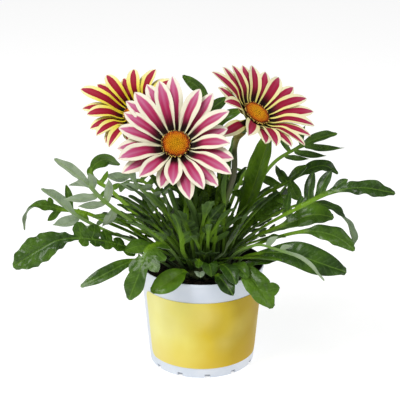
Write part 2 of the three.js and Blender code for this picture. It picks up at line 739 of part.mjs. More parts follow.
// One ray leaves the hub straight, clears the disc's rim and arches over to its tip. It is widest near
// the middle and pointed at the end.
function rayGeometry(start, tip, side, out, petal) {
  const length = start.distanceTo(tip);
  const ringAt = (share) => {
    const swell = Math.sin(Math.PI * share ** RAY.skew) ** RAY.fullness;
    const half = petal.half * THREE.MathUtils.lerp(RAY.foot, 1, swell);
    const bow = petal.arch * 4 * share * (1 - share) + petal.curl * (share - share ** 4);
    const clear = THREE.MathUtils.smoothstep(share, RAY.straight, RAY.bent);
    const point = start.clone().lerp(tip, share).addScaledVector(out, bow * clear * length);
    return [
      point.clone().addScaledVector(side, half),
      point.clone().addScaledVector(out, RAY.thick / 2),
      point.clone().addScaledVector(side, -half),
      point.clone().addScaledVector(out, -RAY.thick / 2),
    ];
  };
  return skinOver(RAY.places.map(ringAt), tip);
}

// The ring of rays: every second one stands a little higher, and all grow from one flat hub.
function raysGeometry(flower, base, axes) {
  const { out, top, right } = axes;
  const hub = lathe([[0, 0], [HUB.radius, 0], [HUB.radius, HUB.thick], [0, HUB.thick]], 24);
  let ring = solidOf(standOn(hub, base.clone().addScaledVector(out, -HUB.thick / 2), out));
  flower.rays.forEach(([clock, length, rise = flower.rise], i) => {
    const along = right.clone().multiplyScalar(Math.sin(radians(clock)))
      .addScaledVector(top, Math.cos(radians(clock)));
    const side = new THREE.Vector3().crossVectors(out, along);
    const layer = (i % 2 === 0 ? -1 : 1) * RAY.layer;
    const start = base.clone().addScaledVector(along, RAY.inner).addScaledVector(out, layer);
    const tip = at(...flower.centre)
      .addScaledVector(along, length * Math.cos(radians(rise)))
      .addScaledVector(out, length * Math.sin(radians(rise)) + layer * RAY.spread);
    ring = ring.add(solidOf(rayGeometry(start, tip, side, out, flower.petal)));
  });
  return geometryOf(ring);
}

function discGeometry(seat, out) {
  const profile = [
    [0, 0], [DISC.radius * 0.62, 0], [DISC.radius, DISC.height * 0.58], [DISC.radius * 0.85, DISC.height],
    [DISC.radius * 0.45, DISC.height * 1.25], [0, DISC.height * 1.3],
  ];
  return standOn(lathe(profile, 24), seat, out);
}

addPiece('pot', pot(), POT_PLASTIC);
addPiece('label', label(), LABEL_FILM);
addPiece('soil', soil(), PEAT);
addPiece('crown', crown(), WOODY);

for (const [name, flower] of Object.entries(FLOWERS)) {
  const axes = axesOf(flower);
  const base = at(...flower.centre).addScaledVector(axes.out, -DISC.height);
  const cupTop = base.clone().addScaledVector(axes.out, -HUB.thick / 2 - GAP);
  const cupFoot = cupTop.clone().addScaledVector(axes.out, -BRACTS.length);
  const neck = cupFoot.clone().addScaledVector(axes.out, -GAP - STALK.tip);
  const discSeat = base.clone().addScaledVector(axes.out, HUB.thick / 2 + GAP);
  addPiece(`${name}_flower_stalk`, stalkGeometry(flower, neck, axes.out), STALK_GREEN);
  addPiece(`${name}_flower_involucre`, bractsGeometry(cupFoot, axes.out), BRACT_GREEN);
  addPiece(`${name}_flower_rays`, raysGeometry(flower, base, axes), flower.material);
  addPiece(`${name}_flower_disc`, discGeometry(discSeat, axes.out), DISC_GOLD);
}

for (const piece of plant.children) {
  remember(piece.name, piece.geometry);
}

const TONES = { bright: LEAF_BRIGHT, silver: LEAF_SILVER };
for (const [name, leaf] of Object.entries(LEAVES)) {
  const geometry = settledLeaf(name, leaf);
  addPiece(`leaf_${name}`, geometry, TONES[leaf.tone] ?? LEAF_DARK);
  remember(name, geometry);
}

export default plant;
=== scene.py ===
# %% [markdown]
# # A gazania in its nursery pot
# The model that the CAD step packed is loaded first and stays fixed: it holds every piece at its real
# size and place. The pieces made below grow on it. Leaves, petals and stalks are read from their CAD
# solids, so nothing is fitted by eye, and each fine piece then stands for the plain solid it came from.

# %% Load the fixed frame
import math
import random

import bmesh
import bpy
import numpy as np
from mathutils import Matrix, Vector, noise
from mathutils.geometry import delaunay_2d_cdt


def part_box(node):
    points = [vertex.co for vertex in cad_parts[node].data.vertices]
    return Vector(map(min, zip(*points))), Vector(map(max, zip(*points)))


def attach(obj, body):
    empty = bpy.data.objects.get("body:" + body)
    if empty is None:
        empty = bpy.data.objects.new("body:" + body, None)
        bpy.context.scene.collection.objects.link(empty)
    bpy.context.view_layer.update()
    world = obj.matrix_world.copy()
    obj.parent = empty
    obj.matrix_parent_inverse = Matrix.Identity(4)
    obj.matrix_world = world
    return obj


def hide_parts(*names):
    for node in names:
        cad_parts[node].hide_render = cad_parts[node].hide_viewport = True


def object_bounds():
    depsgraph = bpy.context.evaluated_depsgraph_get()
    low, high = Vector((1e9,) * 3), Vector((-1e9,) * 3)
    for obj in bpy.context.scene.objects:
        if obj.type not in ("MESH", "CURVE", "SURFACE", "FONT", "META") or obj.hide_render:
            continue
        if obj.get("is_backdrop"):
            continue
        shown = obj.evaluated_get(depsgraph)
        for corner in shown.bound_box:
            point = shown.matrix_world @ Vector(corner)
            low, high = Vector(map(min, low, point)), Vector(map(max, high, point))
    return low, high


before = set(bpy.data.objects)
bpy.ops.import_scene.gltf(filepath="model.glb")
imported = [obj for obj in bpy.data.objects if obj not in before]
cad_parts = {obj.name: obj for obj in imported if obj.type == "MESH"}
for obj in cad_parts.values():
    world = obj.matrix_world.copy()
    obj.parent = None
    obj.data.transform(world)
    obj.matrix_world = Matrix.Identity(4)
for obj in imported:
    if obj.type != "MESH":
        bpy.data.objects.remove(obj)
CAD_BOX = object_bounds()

MM = 0.001
print("CAD box in mm:", [[round(c / MM, 1) for c in corner] for corner in CAD_BOX])

# %% [markdown]
# ## Colours and shader nodes
# Every colour is written as it looks on a screen, in sRGB hex, and shaders want linear light, so one
# function turns one into the other. A second one adds any node with its settings and its links. A third
# starts a finish, and a fourth ends it with its colour and its relief.

# %% Helpers for all materials
def linear(code):
    """A colour from its sRGB hex code, as the linear red, green, blue and alpha that shaders take."""
    parts = [int(code[i:i + 2], 16) / 255 for i in (1, 3, 5)]
    curve = [c / 12.92 if c <= 0.04045 else ((c + 0.055) / 1.055) ** 2.4 for c in parts]
    return (*curve, 1.0)


def add(tree, kind, inputs=None, stops=None, **settings):
    """Adds one node, whose inputs get values or the outputs that feed them, and a ramp its stops."""
    made = tree.nodes.new(kind)
    for name, value in settings.items():
        setattr(made, name, value)
    for socket, value in (inputs or {}).items():
        if isinstance(value, bpy.types.NodeSocket):
            tree.links.new(value, made.inputs[socket])
        else:
            made.inputs[socket].default_value = value
    if stops:
        ramp = made.color_ramp.elements
        ramp.remove(ramp[1])
        ramp[0].position = stops[0][0]
        ramp[0].color = linear(stops[0][1])
        for place, colour in stops[1:]:
            ramp.new(place).color = linear(colour)
    return made


def new_finish(name, constants):
    """A material with one Principled shader, whose numbers that are the same all over are set here."""
    material = bpy.data.materials.new(name)
    material.use_nodes = True
    tree = material.node_tree
    shader = tree.nodes["Principled BSDF"]
    for socket, value in constants.items():
        shader.inputs[socket].default_value = value
    return material, tree, shader


def end_finish(tree, shader, colour, height, strength, deep):
    """Gives a finish its colour, and a relief so many mm deep from a pattern of heights."""
    tree.links.new(colour, shader.inputs["Base Color"])
    bump = add(tree, "ShaderNodeBump", {"Height": height, "Strength": strength, "Distance": deep * MM})
    tree.links.new(bump.outputs[0], shader.inputs["Normal"])


# %% [markdown]
# ## Camera, floor and light
# The plant is seen from in front and a little above through a long lens, as a product picture is taken.
# The light is a studio's: a large soft box high on the left and a weaker one on the right, so that glossy
# leaves get broad soft highlights and the pot turns darker to its right. The surround is white behind
# the plant and lights it less than it shows, as a backdrop with lamps of its own does, so the shade
# between the stalks stays deep, and it shows even less in gloss, as behind black flags, so that green
# leaves aren't washed grey. The floor is a plain light table: white acrylic lit from below, so that
# only a faint shadow is left at the pot's foot. It isn't part of the plant.

# %% Camera
CAMERA_BACK = 893
CAMERA_HIGH = 455
CAMERA_PITCH = 18.64
CAMERA_YAW = 0.115
IMAGE_SIDE = 400
FOCAL_PIXELS = 1046
SENSOR = 36

lens = bpy.data.cameras.new("product_lens")
lens.sensor_width = SENSOR
lens.lens = FOCAL_PIXELS / IMAGE_SIDE * SENSOR
camera = bpy.data.objects.new("camera", lens)
camera.location = (0, -CAMERA_BACK * MM, CAMERA_HIGH * MM)
camera.rotation_euler = (math.radians(90 - CAMERA_PITCH), 0, math.radians(CAMERA_YAW))
bpy.context.scene.collection.objects.link(camera)
bpy.context.scene.camera = camera
bpy.context.scene.view_settings.view_transform = "Standard"
print("lens in mm:", round(lens.lens, 1))

# %% Floor
FLOOR_SIDE = 6.0
floor_mesh = bpy.data.meshes.new("studio_floor")
edge = FLOOR_SIDE / 2
corners = [(-edge, -edge, 0), (edge, -edge, 0), (edge, edge, 0), (-edge, edge, 0)]
floor_mesh.from_pydata(corners, [], [(0, 1, 2, 3)])
floor = bpy.data.objects.new("studio_floor", floor_mesh)
bpy.context.scene.collection.objects.link(floor)
floor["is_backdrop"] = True
acrylic, tree, shader = new_finish("light_table_acrylic_matt", {
    "Roughness": 0.9, "Base Color": linear("#BCBCBC"), "Emission Color": linear("#FFFFFF"),
    "Emission Strength": 0.7,
})
floor_mesh.materials.append(acrylic)

# %% Lights
def soft_box(name, place, aim, size, watts):
    """A square area light at a place in metres, turned to face a point."""
    light = bpy.data.lights.new(name, "AREA")
    light.size = size
    light.energy = watts
    made = bpy.data.objects.new(name, light)
    made.location = place
    made.rotation_euler = (Vector(aim) - Vector(place)).to_track_quat("-Z", "Y").to_euler()
    bpy.context.scene.collection.objects.link(made)


MIDDLE = (0, 0, 0.14)
BACKDROP_SHOWN = 1.0
BACKDROP_LIGHT = 0.42
BACKDROP_IN_GLOSS = 0.2
soft_box("key_soft_box", (-0.9, -0.7, 1.5), MIDDLE, 0.9, 25)
soft_box("right_soft_box", (1.2, -0.5, 0.9), MIDDLE, 0.8, 5)
surround = bpy.data.worlds.new("studio_surround")
surround.use_nodes = True
tree = surround.node_tree
path = add(tree, "ShaderNodeLightPath").outputs
dimmed = add(tree, "ShaderNodeMapRange", {0: path["Is Glossy Ray"], 3: BACKDROP_LIGHT, 4: BACKDROP_IN_GLOSS})
strength = add(tree, "ShaderNodeMapRange", {
    0: path["Is Camera Ray"], 3: dimmed.outputs[0], 4: BACKDROP_SHOWN,
})
tree.links.new(strength.outputs[0], tree.nodes["Background"].inputs["Strength"])
tree.nodes["Background"].inputs["Color"].default_value = linear("#FFFFFF")
bpy.context.scene.world = surround

# %% [markdown]
# ## Making a piece
# A piece's points are worked out in millimetres in the plant's own frame, with its object left at the
# origin. Once its mesh stands, the piece rides on the one body, and the CAD solids that it stands for are
# hidden.

# %% Two functions make every piece
def keep_mesh(name, mesh, stands_for):
    """A piece from a finished mesh that is already in its place, which stands for CAD nodes."""
    made = bpy.data.objects.new(name, mesh)
    bpy.context.scene.collection.objects.link(made)
    mesh.polygons.foreach_set("use_smooth", [True] * len(mesh.polygons))
    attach(made, "root")
    if stands_for:
        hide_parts(*stands_for)
    return made


def new_piece(name, points, faces, materials, stands_for, face_materials=None):
    """A piece from points in mm and faces."""
    mesh = bpy.data.meshes.new(name)
    mesh.from_pydata((np.asarray(points) * MM).tolist(), [], [tuple(map(int, f)) for f in faces])
    for material in materials:
        mesh.materials.append(material)
    if face_materials is not None:
        mesh.polygons.foreach_set("material_index", np.asarray(face_materials, np.int32))
    return keep_mesh(name, mesh, stands_for)


def write_uv(made, name, values):
    """Gives a piece a UV map from two numbers for each point."""
    mesh = made.data
    corner = np.zeros(len(mesh.loops), np.int32)
    mesh.loops.foreach_get("vertex_index", corner)
    layer = mesh.uv_layers.new(name=name)
    layer.data.foreach_set("uv", np.asarray(values, np.float32)[corner].ravel())


def write_number(made, name, values):
    """Gives a piece one named number for each point, for its material to read."""
    layer = made.data.attributes.new(name, "FLOAT", "POINT")
    layer.data.foreach_set("value", np.asarray(values, np.float32))


# %% [markdown]
# ## Reading a leaf from its solid
# Each CAD leaf is a skin over rings of five points: left edge, top, right edge and two points below.
# Only its tip joins five others with every further step outwards meeting five more, so the tip is
# found by walking. The rings then give the midrib's line, the leaf's own directions and its outline.

# %% Rings of a skinned solid
def joined(node):
    """A CAD node's corner points in mm, and the points beside each, with its split corners joined."""
    shell = bmesh.new()
    shell.from_mesh(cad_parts[node].data)
    bmesh.ops.remove_doubles(shell, verts=shell.verts, dist=1e-6)
    shell.verts.index_update()
    points = np.array([v.co[:] for v in shell.verts]) / MM
    beside = [{e.other_vert(v).index for e in v.link_edges} for v in shell.verts]
    shell.free()
    return points, beside


def rings_of(node, sides):
    """The points of a solid, its neighbours, its rings from root to tip, and its tip."""
    points, beside = joined(node)
    for tip in range(len(points)):
        rings = [beside[tip]]
        seen = {tip} | beside[tip]
        while len(rings[-1]) == sides:
            further = set().union(*(beside[v] for v in rings[-1])) - seen
            if not further:
                break
            rings.append(further)
            seen |= further
        if len(seen) == len(points) and all(len(ring) == sides for ring in rings):
            return points, beside, rings[::-1], tip
    raise ValueError(f"{node} isn't a skin over rings of {sides} points")


def leaf_rings(node):
    """A leaf's rings in order, as an array of rings x [left, top, right, under right, under left] x 3."""
    points, beside, rings, tip = rings_of(node, 5)
    root = sorted(rings[0])

    def apart(a, b):
        return np.linalg.norm(points[a] - points[b])

    one, other = max(((a, b) for a in root for b in root if a < b), key=lambda pair: apart(*pair))
    rest = [v for v in root if v not in (one, other)]
    top = min(rest, key=lambda v: abs(apart(v, one) - apart(v, other)))
    under = [v for v in rest if v != top]
    up = points[top] - points[under].mean(axis=0)
    ahead = points[list(rings[1])].mean(axis=0) - points[root].mean(axis=0)
    left, right = (one, other) if (points[one] - points[other]) @ np.cross(up, ahead) > 0 else (other, one)
    under.sort(key=lambda v: apart(v, right))
    ordered = [[left, top, right, *under]]
    for ring in rings[1:]:
        row = [None] * 5
        for v in ring:
            joins = sorted(ordered[-1].index(u) for u in beside[v] if u in ordered[-1])
            row[0 if joins == [0, 4] else joins[-1]] = v
        ordered.append(row)
    return points[np.array(ordered)], points[tip]


# %% [markdown]
# ## The leaf's own map
# A leaf is easiest to draw flat: so many millimetres along its midrib, so many across. A smooth curve
# through the rings' top points carries that flat drawing into space, with a third number for how far
# the surface rises off it. The same curve reads a CAD point back into the drawing.

# %% Midrib curve
FINE_STEPS = 260
SPARE = 40
READING_STEPS = 30
READING_PACE = 0.6


def through(knots, values, at):
    """A smooth curve through values at knots, with each slope taken from both neighbours."""
    gap = np.diff(knots)[:, None]
    slope = np.diff(values, axis=0) / gap
    inner = (slope[:-1] * gap[1:] + slope[1:] * gap[:-1]) / (gap[:-1] + gap[1:])
    slopes = np.vstack([slope[:1], inner, slope[-1:]])
    k = np.clip(np.searchsorted(knots, at, side="right") - 1, 0, len(knots) - 2)
    span = gap[k]
    t = ((at - knots[k])[:, None]) / span
    start = values[k] * (1 + 2 * t) * (1 - t) ** 2 + slopes[k] * span * t * (1 - t) ** 2
    return start + values[k + 1] * t ** 2 * (3 - 2 * t) + slopes[k + 1] * span * t ** 2 * (t - 1)


def unit(rows):
    """Directions of length one."""
    return rows / np.linalg.norm(rows, axis=-1, keepdims=True)


def midrib_of(tops, lifts):
    """The midrib through some points, as tables over its length that run on past both ends."""
    knots = np.concatenate([[0], np.cumsum(np.linalg.norm(np.diff(tops, axis=0), axis=1))])
    along = np.linspace(0, knots[-1], FINE_STEPS)
    point = through(knots, tops, along)
    ahead = unit(np.gradient(point, along, axis=0))
    up = np.stack([np.interp(along, knots, unit(lifts)[:, i]) for i in range(3)], axis=1)
    up = unit(up - (up * ahead).sum(axis=1, keepdims=True) * ahead)
    before, after = point[0] - ahead[0] * SPARE, point[-1] + ahead[-1] * SPARE
    return {
        "length": knots[-1],
        "knots": knots,
        "along": np.concatenate([[-SPARE], along, [knots[-1] + SPARE]]),
        "point": np.vstack([before, point, after]),
        "ahead": np.vstack([ahead[0], ahead, ahead[-1]]),
        "up": np.vstack([up[0], up, up[-1]]),
    }


def read(midrib, table, along):
    """One of a midrib's tables, read at places along it."""
    rows = [np.interp(along, midrib["along"], midrib[table][:, i]) for i in range(3)]
    return np.stack(rows, axis=-1)


def to_space(midrib, along, across, rise):
    """Points in space for places on the flat drawing and their rise off it."""
    ahead = read(midrib, "ahead", along)
    up = read(midrib, "up", along)
    left = unit(np.cross(up, ahead))
    return read(midrib, "point", along) + left * across[..., None] + unit(up) * rise[..., None]


def to_drawing(midrib, point, along):
    """The place on the flat drawing, along, across and rise, of a point in space near a first guess."""
    for _ in range(READING_STEPS):
        off = point - read(midrib, "point", along)
        along = along + READING_PACE * float(off @ read(midrib, "ahead", along))
        along = float(np.clip(along, 0, midrib["length"] + SPARE / 2))
    ahead = read(midrib, "ahead", along)
    up = unit(read(midrib, "up", along))
    off = point - read(midrib, "point", along)
    return np.array([along, off @ unit(np.cross(up, ahead)), off @ up])


# %% [markdown]
# ## The outline
# On the real plant a lobe leaves the rachis with a wide foot, narrows, swells and ends in a blunt
# point. The CAD solid gives each lobe's tip and the width of the stem and the end blade. Each lobe is
# drawn as its own closed loop, and so is the stem with its blade, and the leaf is all of them together.

# %% Lobes and widths from the rings
LOBE_SPAN = 0.03
LOBE_JUMP = 3.0
STEM_HALF = 1.9


def lobes_of(rings, midrib, side):
    """Each lobe on one side as (root along, tip along, tip across, tip rise) in mm."""
    edge = rings[:, 0 if side > 0 else 2]
    reach = np.linalg.norm(edge - rings[:, 1], axis=1)
    knots = midrib["knots"][:-1]
    window = LOBE_SPAN * 1.1 * midrib["length"]
    found = []
    for k in range(1, len(knots) - 1):
        near = reach[np.abs(knots - knots[k]) < window]
        ahead = reach[(knots > knots[k]) & (knots < knots[k] + window)]
        behind = reach[(knots < knots[k]) & (knots > knots[k] - window)]
        if reach[k] < near.max() or not len(ahead) or not len(behind):
            continue
        if reach[k] - max(ahead.min(), behind.min()) > LOBE_JUMP:
            found.append((knots[k], *to_drawing(midrib, edge[k], knots[k])))
    return found


def widths_of(rings, midrib, lobes, side):
    """Half widths of stem and blade along one side, away from its lobes, with their rise, in mm."""
    edge = rings[:, 0 if side > 0 else 2]
    knots = midrib["knots"][:-1]
    window = LOBE_SPAN * 1.02 * midrib["length"]
    rows = []
    for k, place in enumerate(knots):
        if all(abs(place - lobe[0]) > window for lobe in lobes):
            _, across, rise = to_drawing(midrib, edge[k], place)
            rows.append((place, abs(across), rise))
    return np.array(rows)


# %% Drawing one lobe
LOBE_STEPS = 15


def lobe_line(lobe):
    """A lobe's middle line on the flat drawing: its points, their sideways directions and share of length."""
    root, tip_along, tip_across, _ = lobe
    start, tip = np.array([root, 0.0]), np.array([tip_along, tip_across])
    chord = tip - start
    back = np.array([-abs(chord[1]), chord[0] * np.sign(chord[1])])
    middle = start + 0.5 * chord + 0.14 * back
    share = np.linspace(0, 1, LOBE_STEPS)[:, None]
    line = (1 - share) ** 2 * start + 2 * share * (1 - share) * middle + share ** 2 * tip
    ahead = unit(2 * (1 - share) * (middle - start) + 2 * share * (tip - middle) + 1e-9)
    return line, np.stack([-ahead[:, 1], ahead[:, 0]], axis=1), share[:, 0]


def lobe_half(share, reach, look, fullness):
    """Half a lobe's width in mm at a share of its length: foot, swelling and a blunt or lance-like point."""
    widest = (1.7 + 0.085 * reach) * look["lobes"] * fullness
    foot = 0.35 * np.exp(-(share / 0.16) ** 2)
    if look["lance"]:
        return widest * (foot + 1.1 * np.sin(np.pi * share ** 0.9) ** 0.85) * (1 - share ** 12)
    swelling = 0.78 + 0.22 * np.sin(np.pi * np.clip(share / 1.15, 0, 1)) ** 2
    close = np.clip((share - 0.5) / 0.5, 0, 1)
    return widest * (foot + swelling) * (1 - close ** 2.3) ** 0.62


# %% [markdown]
# ## From outline to mesh
# An outline with deep lobes has no tidy grid. It is filled the way a cutter fills a pattern piece: even
# points inside it, joined by a Delaunay triangulation that must keep every outline and every vein as an
# edge. The same sheet, moved down by the leaf's thickness and joined round its rim, closes the solid.

# %% Filling a flat drawing with even triangles
SLIVER = 1e-7
MERGED = 1e-3


def inside(points, loop):
    """True for each point that lies in a closed loop."""
    x, y = points[:, :1], points[:, 1:]
    ends = np.roll(loop, -1, axis=0)
    straddles = (loop[:, 1] > y) != (ends[:, 1] > y)
    rise = np.where(ends[:, 1] == loop[:, 1], 1, ends[:, 1] - loop[:, 1])
    crossing = loop[:, 0] + (y - loop[:, 1]) / rise * (ends[:, 0] - loop[:, 0])
    return (straddles & (x < crossing)).sum(axis=1) % 2 == 1


def in_any(points, loops):
    """True for each point that lies in at least one loop."""
    return np.any([inside(points, loop) for loop in loops], axis=0)


def off_lines(points, lines):
    """The distance from each point to the nearest of some lines."""
    best = np.full(len(points), np.inf)
    for line in lines:
        start, step = line[:-1], np.diff(line, axis=0)
        away = points[:, None] - start
        share = np.clip((away * step).sum(axis=2) / (step ** 2).sum(axis=1), 0, 1)
        best = np.minimum(best, np.linalg.norm(away - share[..., None] * step, axis=2).min(axis=1))
    return best


def filled(loops, lines, spacing):
    """Points and triangles that fill loops, whose edges keep to the loops and the lines."""
    marks = np.vstack([*loops, *lines])
    low, high = marks.min(axis=0), marks.max(axis=0)
    xs, ys = np.meshgrid(np.arange(low[0], high[0], spacing), np.arange(low[1], high[1], spacing * 0.866))
    xs[1::2] += spacing / 2
    grid = np.stack([xs.ravel(), ys.ravel()], axis=1)
    grid = grid[in_any(grid, loops)]
    closed = [np.vstack([loop, loop[:1]]) for loop in loops]
    grid = grid[off_lines(grid, closed + lines) > spacing * 0.55]
    edges = []
    first = 0
    for loop in loops:
        edges += [(first + i, first + (i + 1) % len(loop)) for i in range(len(loop))]
        first += len(loop)
    for line in lines:
        edges += [(first + i, first + i + 1) for i in range(len(line) - 1)]
        first += len(line)
    every = np.vstack([marks, grid])
    made = delaunay_2d_cdt([Vector(p) for p in every.tolist()], edges, [], 0, MERGED)
    points = np.array([v[:] for v in made[0]])
    faces = np.array(made[2])
    faces = faces[in_any(points[faces].mean(axis=1), loops)]
    a, b, c = points[faces[:, 0]], points[faces[:, 1]], points[faces[:, 2]]
    area = (b - a)[:, 0] * (c - a)[:, 1] - (b - a)[:, 1] * (c - a)[:, 0]
    faces = faces[np.abs(area) > SLIVER]
    area = area[np.abs(area) > SLIVER]
    faces[area < 0] = faces[area < 0][:, ::-1]
    used, faces = np.unique(faces, return_inverse=True)
    return points[used], faces.reshape(-1, 3)


def rim_of(faces):
    """The edges that only one triangle has, in that triangle's direction."""
    edges = np.vstack([faces[:, [0, 1]], faces[:, [1, 2]], faces[:, [2, 0]]])
    known = {tuple(edge) for edge in edges.tolist()}
    return np.array([edge for edge in edges.tolist() if (edge[1], edge[0]) not in known])


def two_sided(name, top, under, faces, materials, stands_for):
    """A thin closed piece from a top sheet, an under sheet and the rim between them."""
    count = len(top)
    rim = rim_of(faces)
    under_faces = faces[:, ::-1] + count
    rim_faces = [(b, a, a + count, b + count) for a, b in rim.tolist()]
    kinds = [0] * len(faces) + [1] * (len(faces) + len(rim_faces))
    made = new_piece(name, np.vstack([top, under]), [*faces.tolist(), *under_faces.tolist(), *rim_faces],
                     materials, stands_for, kinds)
    mesh = made.data
    ends = np.zeros(len(mesh.edges) * 2, np.int32)
    mesh.edges.foreach_get("vertices", ends)
    ends = np.sort(ends.reshape(-1, 2), axis=1)
    sharp = np.sort(np.vstack([rim, rim + count]), axis=1)
    keys = sharp[:, 0] * 2 * count + sharp[:, 1]
    is_sharp = np.isin(ends[:, 0].astype(np.int64) * 2 * count + ends[:, 1], keys)
    mesh.attributes.new("sharp_edge", "BOOLEAN", "EDGE").data.foreach_set("value", is_sharp)
    return made


# %% [markdown]
# ## Growing a leaf
# A live leaf is never flat. Its halves arch up from the midrib, its margin grows faster than its middle
# and so ripples, and the blade puckers between its side veins. Under it the midrib stands out as a rib
# that is thick at the stalk and thin at the tip. Each is one term of a sum, worked out for every point of
# the flat drawing, and numbers drawn from the leaf's own name keep any two leaves from being alike.

# %% Sizes of a leaf, and each leaf's own look
FILL_SPACING = 1.9
EDGE_SPACING = 1.3
SUNK_ROOT = 2.5
VEIN_GAP = 6.0
VEIN_SLOPE = 0.85
UV_SIDE = 200
LOBE_VEIN_THINNER = 0.25
CRUMPLE_SIZE = 6.5
# Near enough a whole turn in radians, for waves and for chance.
FULL_TURN = 6.28
LOOK = {
    "wave": 0.9, "ripple": 17, "frill": 0.15, "pucker": 0.08, "crumple": 0.35, "bulge": 0.16, "fold": 0.1,
    "lobes": 1.0, "lance": False, "droop": 0.10, "blunt": 0.5, "stem_to": (0.55, 0.9),
}
SMOOTH = {"wave": 0.3, "frill": 0.0, "pucker": 0.0, "crumple": 0.15}
LANCE = {**SMOOTH, "lance": True, "blunt": 0.8, "fold": 0.4, "bulge": 0.1}
LOOKS = {
    "left_long": {
        "wave": 2.0, "ripple": 15, "pucker": 0.5, "crumple": 1.5, "frill": 0.5, "lobes": 2.3,
        "stem_to": (0.05, 0.3),
    },
    "right_long": {"wave": 1.5, "ripple": 19, "pucker": 0.3, "crumple": 1.1, "frill": 0.4, "lobes": 1.25},
    "right_broad": {"wave": 0.9, "ripple": 40, "crumple": 1.0, "frill": 0.0, "blunt": 0.36},
    "right_low": {"wave": 1.2, "crumple": 1.0},
    "right_bright": {"crumple": 0.8, "frill": 0.0, "blunt": 0.45},
    "front_left_lobed": {"wave": 0.8, "crumple": 0.5, "lobes": 1.8, "frill": 0.0, "blunt": 0.45},
    "front_left_oval": {**SMOOTH, "crumple": 0.5, "blunt": 0.42},
    "front_right_lobed": {"crumple": 0.7, "lobes": 2.2, "blunt": 0.45},
    "front_right_grey": {"crumple": 0.6, "blunt": 0.42},
    "left_front_narrow": {**SMOOTH, "crumple": 0.4, "blunt": 0.34},
    "upright_broad": {**SMOOTH, "blunt": 0.35},
    "upright_tall": SMOOTH,
    "upright_back_1": SMOOTH,
    "upright_back_2": SMOOTH,
    "right_arching": {"wave": 0.7},
    "right_pinnate_high": {**LANCE, "lobes": 0.68},
    "right_pinnate_mid": {**LANCE, "lobes": 0.9},
    "left_back_curl": {**SMOOTH, "blunt": 0.42},
    "left_silver_long": LANCE,
    "left_silver_low": LANCE,
    "left_back_tall": LANCE,
    "right_silver_thin": {**LANCE, "lobes": 0.8},
    "pale_strap": SMOOTH,
    "centre_small": SMOOTH,
}


# %% Noise, steps and the stem's edge
def lumpy(points, size, high, seed):
    """How far noise with lumps of a size moves each point, in mm."""
    return np.array([noise.noise(Vector(p) / size + Vector((seed, 0, 0))) for p in points]) * high


def smooth_step(value, low, high):
    """0 below one value, 1 above another, and an even S between them."""
    t = np.clip((value - low) / (high - low), 0, 1)
    return t * t * (3 - 2 * t)


def edge_curve(rows, length, at, look):
    """Half width and rise of one side of stem and blade at places along the midrib."""
    half = np.interp(at, rows[:, 0], rows[:, 1])
    smooth = through(rows[:, 0], rows[:, 1:], np.clip(at, rows[0, 0], rows[-1, 0]))
    half = np.maximum(smooth[:, 0], np.minimum(half, STEM_HALF) * 0.9)
    last = rows[-1, 0]
    close = np.clip((at - last) / (length - last), 0, 1)
    return half * (1 - close ** 2) ** look["blunt"], smooth[:, 1] * (1 - close)


# %% Growing one leaf
def leaf_plan(node):
    """A CAD leaf's midrib, lobes and widths."""
    rings, tip = leaf_rings(node)
    lifts = rings[:, 1] - rings[:, 3:].mean(axis=1)
    midrib = midrib_of(np.vstack([rings[:, 1], tip]), np.vstack([lifts, lifts[-1]]))
    lobes = {side: lobes_of(rings, midrib, side) for side in (1, -1)}
    rows = {side: widths_of(rings, midrib, lobes[side], side) for side in (1, -1)}
    return midrib, lobes, rows


def leaf_outline(plan, look, draw):
    """A leaf's flat drawing: loops for body and lobes, its vein lines, and what each lobe needs to rise."""
    midrib, lobes, rows = plan
    length = midrib["length"]

    # Stem and blade are wavy in their width as well as in their height.
    along = np.linspace(-SUNK_ROOT, length, max(20, int(length / EDGE_SPACING)))
    sides = []
    for side in (1, -1):
        half, _ = edge_curve(rows[side], length, along, look)
        phase = draw.uniform(0, FULL_TURN)
        frill = look["frill"] * np.sin(along * FULL_TURN / (look["ripple"] * 0.61) + phase)
        half = half + smooth_step(half, 2.2, 5) * frill
        sides.append(np.stack([along, np.maximum(half, 0.05) * side], axis=1))
    body = np.vstack([sides[0][:-1], [[length, 0]], sides[1][-2::-1]])
    loops = [body]
    veins = [np.array([[a, 0.0] for a in np.linspace(-SUNK_ROOT + 0.4, length - 0.6, int(length / 2.2))])]
    branches = []
    for side in (1, -1):
        for lobe in lobes[side]:
            line, sideways, share = lobe_line(lobe)
            reach = math.hypot(lobe[1] - lobe[0], lobe[2])
            half = lobe_half(share, reach, look, draw.uniform(0.9, 1.12))
            one_edge = line + sideways * half[:, None]
            other_edge = line - sideways * half[:, None]
            loops.append(np.vstack([one_edge, other_edge[-2:0:-1]]))
            veins.append(line[1:-1])
            branches.append((line, sideways, share, half, lobe[3], reach, draw.uniform(-1, 1)))
    return loops, veins, branches


